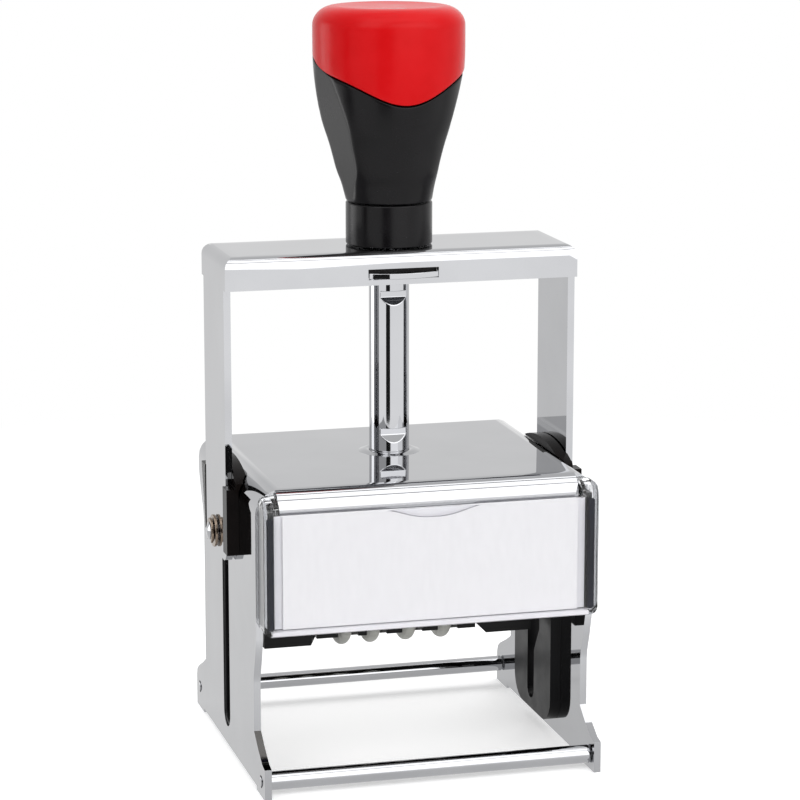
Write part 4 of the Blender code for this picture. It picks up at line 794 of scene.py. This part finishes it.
def make_cap(handle):
    """The red cap: a wavy lower edge, a rounded shoulder and a slightly dished top."""
    turns = handle.turns
    rings = [[(0.0, 0.0, handle.roof)], [(turn, handle.bore, handle.roof) for turn in turns],
             handle.bore_ring(SEAM_GAP)]
    for step in range(SEAM_STEPS + 1):
        lift = math.pi / 2 * step / SEAM_STEPS
        rings.append([(turn, handle.radius(turn, height, False)
                       - SEAM_ROUND * (1 - math.sin(lift)), height) for turn, height in
                      ((turn, handle.seam(turn) + SEAM_GAP + SEAM_ROUND * (1 - math.cos(lift)))
                       for turn in turns)])
    for row in range(1, CAP_ROWS):
        share = row / CAP_ROWS
        rings.append([(turn, handle.radius(turn, height, False), height) for turn, height in
                      ((turn, (handle.seam(turn) + SEAM_GAP + SEAM_ROUND) * (1 - share)
                        + handle.shoulder * share) for turn in turns)])
    for step in range(SHOULDER_ROWS + 1):
        lift = math.pi / 2 * step / SHOULDER_ROWS
        radius = GRIP_TOP_R + (GRIP_R - GRIP_TOP_R) * math.cos(lift)
        height = handle.shoulder + CAP_SHOULDER * math.sin(lift)
        rings.append([(turn, radius, height) for turn in turns])
    for share in CAP_TOP_SHARES:
        dip = CAP_DISH * (1 - share ** 4)
        rings.append([(turn, GRIP_TOP_R * share, handle.high - dip) for turn in turns])
    rings.append([(0.0, 0.0, handle.high - CAP_DISH)])
    cap = skin_rings("grip_cap_skin", rings, handle.axis_y)
    shade(cap.data, HANDLE_SHARP_TURN)
    settle(cap, "red", "grip_cap")


def make_spring():
    """The return spring, with its own copy of the mesh; the real spring shortens as the yoke goes
    down.
    """
    piece = dress("return_spring", "steel", 0.0)
    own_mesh(piece)


def maths(nodes, links, operation, first, second):
    """Add a two-value Math node; a value is a socket or a number."""
    step = nodes.new("ShaderNodeMath")
    step.operation = operation
    for socket, value in zip(step.inputs, (first, second)):
        if isinstance(value, (int, float)):
            socket.default_value = value
        else:
            links.new(value, socket)
    return step.outputs["Value"]


def ray_strength(nodes, links, seen, mirrored, lit):
    """One number for camera and transmission rays, one for glossy rays and one for the rest."""
    rays = nodes.new("ShaderNodeLightPath")
    direct = maths(nodes, links, "MAXIMUM", rays.outputs["Is Camera Ray"],
                   rays.outputs["Is Transmission Ray"])
    shiny = maths(nodes, links, "MULTIPLY", rays.outputs["Is Glossy Ray"],
                  maths(nodes, links, "SUBTRACT", 1.0, direct))
    rest = maths(nodes, links, "SUBTRACT", 1.0, maths(nodes, links, "ADD", direct, shiny))
    total = maths(nodes, links, "MULTIPLY", rest, lit)
    for share, value in ((direct, seen), (shiny, mirrored)):
        total = maths(nodes, links, "ADD", total, maths(nodes, links, "MULTIPLY", share, value))
    return total


def make_sheet(name, size):
    """A flat rectangle about its own middle."""
    shape = bmesh.new()
    bmesh.ops.create_grid(shape, x_segments=1, y_segments=1, size=0.5)
    bmesh.ops.scale(shape, vec=(*size, 1.0), verts=shape.verts)
    return place_shape(name, shape)


def make_floor():
    """A white floor: it takes the object's soft shadow, and further out it is plain backdrop."""
    floor = make_sheet("floor", (FLOOR_SIDE, FLOOR_SIDE))
    made, nodes, links, shader = material("floor_white", Roughness=0.9, Specular_IOR_Level=0.1,
                                          Base_Color=FLOOR_WHITE, Emission_Color=WHITE)
    links.new(ray_strength(nodes, links, FLOOR_LIFT, 0.0, 0.0),
              shader.inputs["Emission Strength"])
    place = nodes.new("ShaderNodeTexCoord")
    length = nodes.new("ShaderNodeVectorMath")
    length.operation = "LENGTH"
    links.new(place.outputs["Object"], length.inputs[0])
    far = spread(nodes, links, length.outputs["Value"], 0.0, 1.0, *FLOOR_FADE)
    parts = nodes.new("ShaderNodeSeparateXYZ")
    links.new(place.outputs["Object"], parts.inputs["Vector"])
    mirrored = spread(nodes, links, parts.outputs["Y"], MIRRORED_FRONT, MIRRORED_BACK,
                      *MIRRORED_TURN)
    rays = nodes.new("ShaderNodeLightPath")
    plain = maths(nodes, links, "MULTIPLY", rays.outputs["Is Glossy Ray"], MIRRORED_PLAIN)
    backdrop = nodes.new("ShaderNodeEmission")
    links.new(ray_strength(nodes, links, 1.0, mirrored, WORLD_LIT), backdrop.inputs["Strength"])
    mix_shaders(nodes, links, maths(nodes, links, "MAXIMUM", far, plain), shader.outputs["BSDF"],
                backdrop.outputs["Emission"])
    floor.data.materials.append(made)


def make_world():
    """A white surround, with its own strength for what the camera, mirrors and matt faces see."""
    world = bpy.data.worlds.new("studio")
    bpy.context.scene.world = world
    world.use_nodes = True
    nodes, links = world.node_tree.nodes, world.node_tree.links
    background = nodes["Background"]
    background.inputs["Color"].default_value = WHITE
    links.new(ray_strength(nodes, links, 1.0, MIRRORED_BACK, WORLD_LIT),
              background.inputs["Strength"])


def make_lamp(name, place, target, size, power):
    """A soft rectangular lamp that faces a point."""
    data = bpy.data.lights.new(name, "AREA")
    data.shape = "RECTANGLE"
    data.size, data.size_y = size
    data.energy = power
    lamp = bpy.data.objects.new(name, data)
    lamp.location = place
    lamp.rotation_euler = (Vector(target) - Vector(place)).to_track_quat("-Z", "Y").to_euler()
    lamp.visible_glossy = name not in UNMIRRORED
    bpy.context.scene.collection.objects.link(lamp)


def make_card(name, place, target, size, strength):
    """A studio card that only reflections show: black, or white if it has a strength."""
    card = make_sheet(name, size)
    card.location = place
    card.rotation_euler = (Vector(target) - Vector(place)).to_track_quat("Z", "Y").to_euler()
    card.data.materials.append(material(name, Roughness=1.0, Base_Color=FLAG_BLACK,
                                        Emission_Color=WHITE, Emission_Strength=strength)[0])
    card.visible_camera = False
    card.visible_diffuse = False
    card.visible_shadow = False
    card.visible_transmission = False


def make_camera():
    """The camera, with the photograph's view."""
    data = bpy.data.cameras.new("view")
    data.lens = LENS_MM
    data.sensor_width = SENSOR_MM
    data.sensor_fit = "HORIZONTAL"
    data.clip_end = VIEW_FAR
    camera = bpy.data.objects.new("view", data)
    camera.location = EYE
    aim = Vector((math.sin(VIEW_TURN) * math.cos(VIEW_DIP),
                  math.cos(VIEW_TURN) * math.cos(VIEW_DIP), -math.sin(VIEW_DIP)))
    camera.rotation_euler = aim.to_track_quat("-Z", "Y").to_euler()
    bpy.context.scene.collection.objects.link(camera)
    bpy.context.scene.camera = camera


def make_studio():
    """The surround, the floor, the lamps and the cards."""
    bpy.context.scene.view_settings.view_transform = "Standard"
    make_world()
    make_floor()
    for name, place, size, power in LAMPS:
        make_lamp(name, place, LAMP_TARGET, size, power)
    for name, place, target, size, strength in CARDS:
        make_card(name, place, target, size, strength)


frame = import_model()
make_camera()
finishes = make_finishes()
dress("frame_shell", "chrome", SHEET_EDGE)
dress("yoke_frame", "chrome", YOKE_EDGE, rework=frame_rolls, flat=False)
# A dark strip paints the shade inside the latch's slot
make_slot_shade_strip()
dress("latch_plate", "chrome", FINE_EDGE)
for node in ("front_rod", "rear_rod", "centre_post", "pivot_pin_left", "pivot_pin_right",
             "wheel_shaft"):
    dress(node, "chrome", FINE_EDGE)
for node in ("pivot_washer_left", "pivot_washer_right", "retaining_ring_left",
             "retaining_ring_right"):
    dress(node, "steel", FINE_EDGE, "browned")
for node in ("spring_plunger", "ink_pad_tray"):
    dress(node, "steel", FINE_EDGE)
for node in ("cam_guide_left", "cam_guide_right"):
    dress(node, "black", MOULD_EDGE, rework=close_guide_gap)
dress("die_holder", "black", MOULD_EDGE, rework=square_block)
for node in ("cover_clip_left", "cover_clip_right", "date_cage", "band_bridge"):
    dress(node, "black", MOULD_EDGE)
for node in ("leg_guide_left", "leg_guide_right"):
    dress(node, "gloss_black", MOULD_EDGE, "fin", fit_leg_guide)
dress("handle_collar", "gloss_black", MOULD_EDGE)
dress("text_plate", "off_white", FINE_EDGE)
dress("label_backing", "off_white", FINE_EDGE, "backing")
dress("rubber_die", "rubber", FINE_EDGE)
for number in ("1", "2", "3", "4"):
    make_wheel("date_wheel_" + number)
    dress("date_band_" + number, "rubber", FINE_EDGE, "belt")
dress("ink_pad", "felt", MOULD_EDGE)
dress("window_cover", "clear", FINE_EDGE)
make_label()
# A pale strip paints the highlight of the cover's lower edge
make_sill_highlight()
make_clip_faces()
make_post_ring()
make_spring()
handle = Handle()
make_grip(handle)
make_cap(handle)
make_studio()
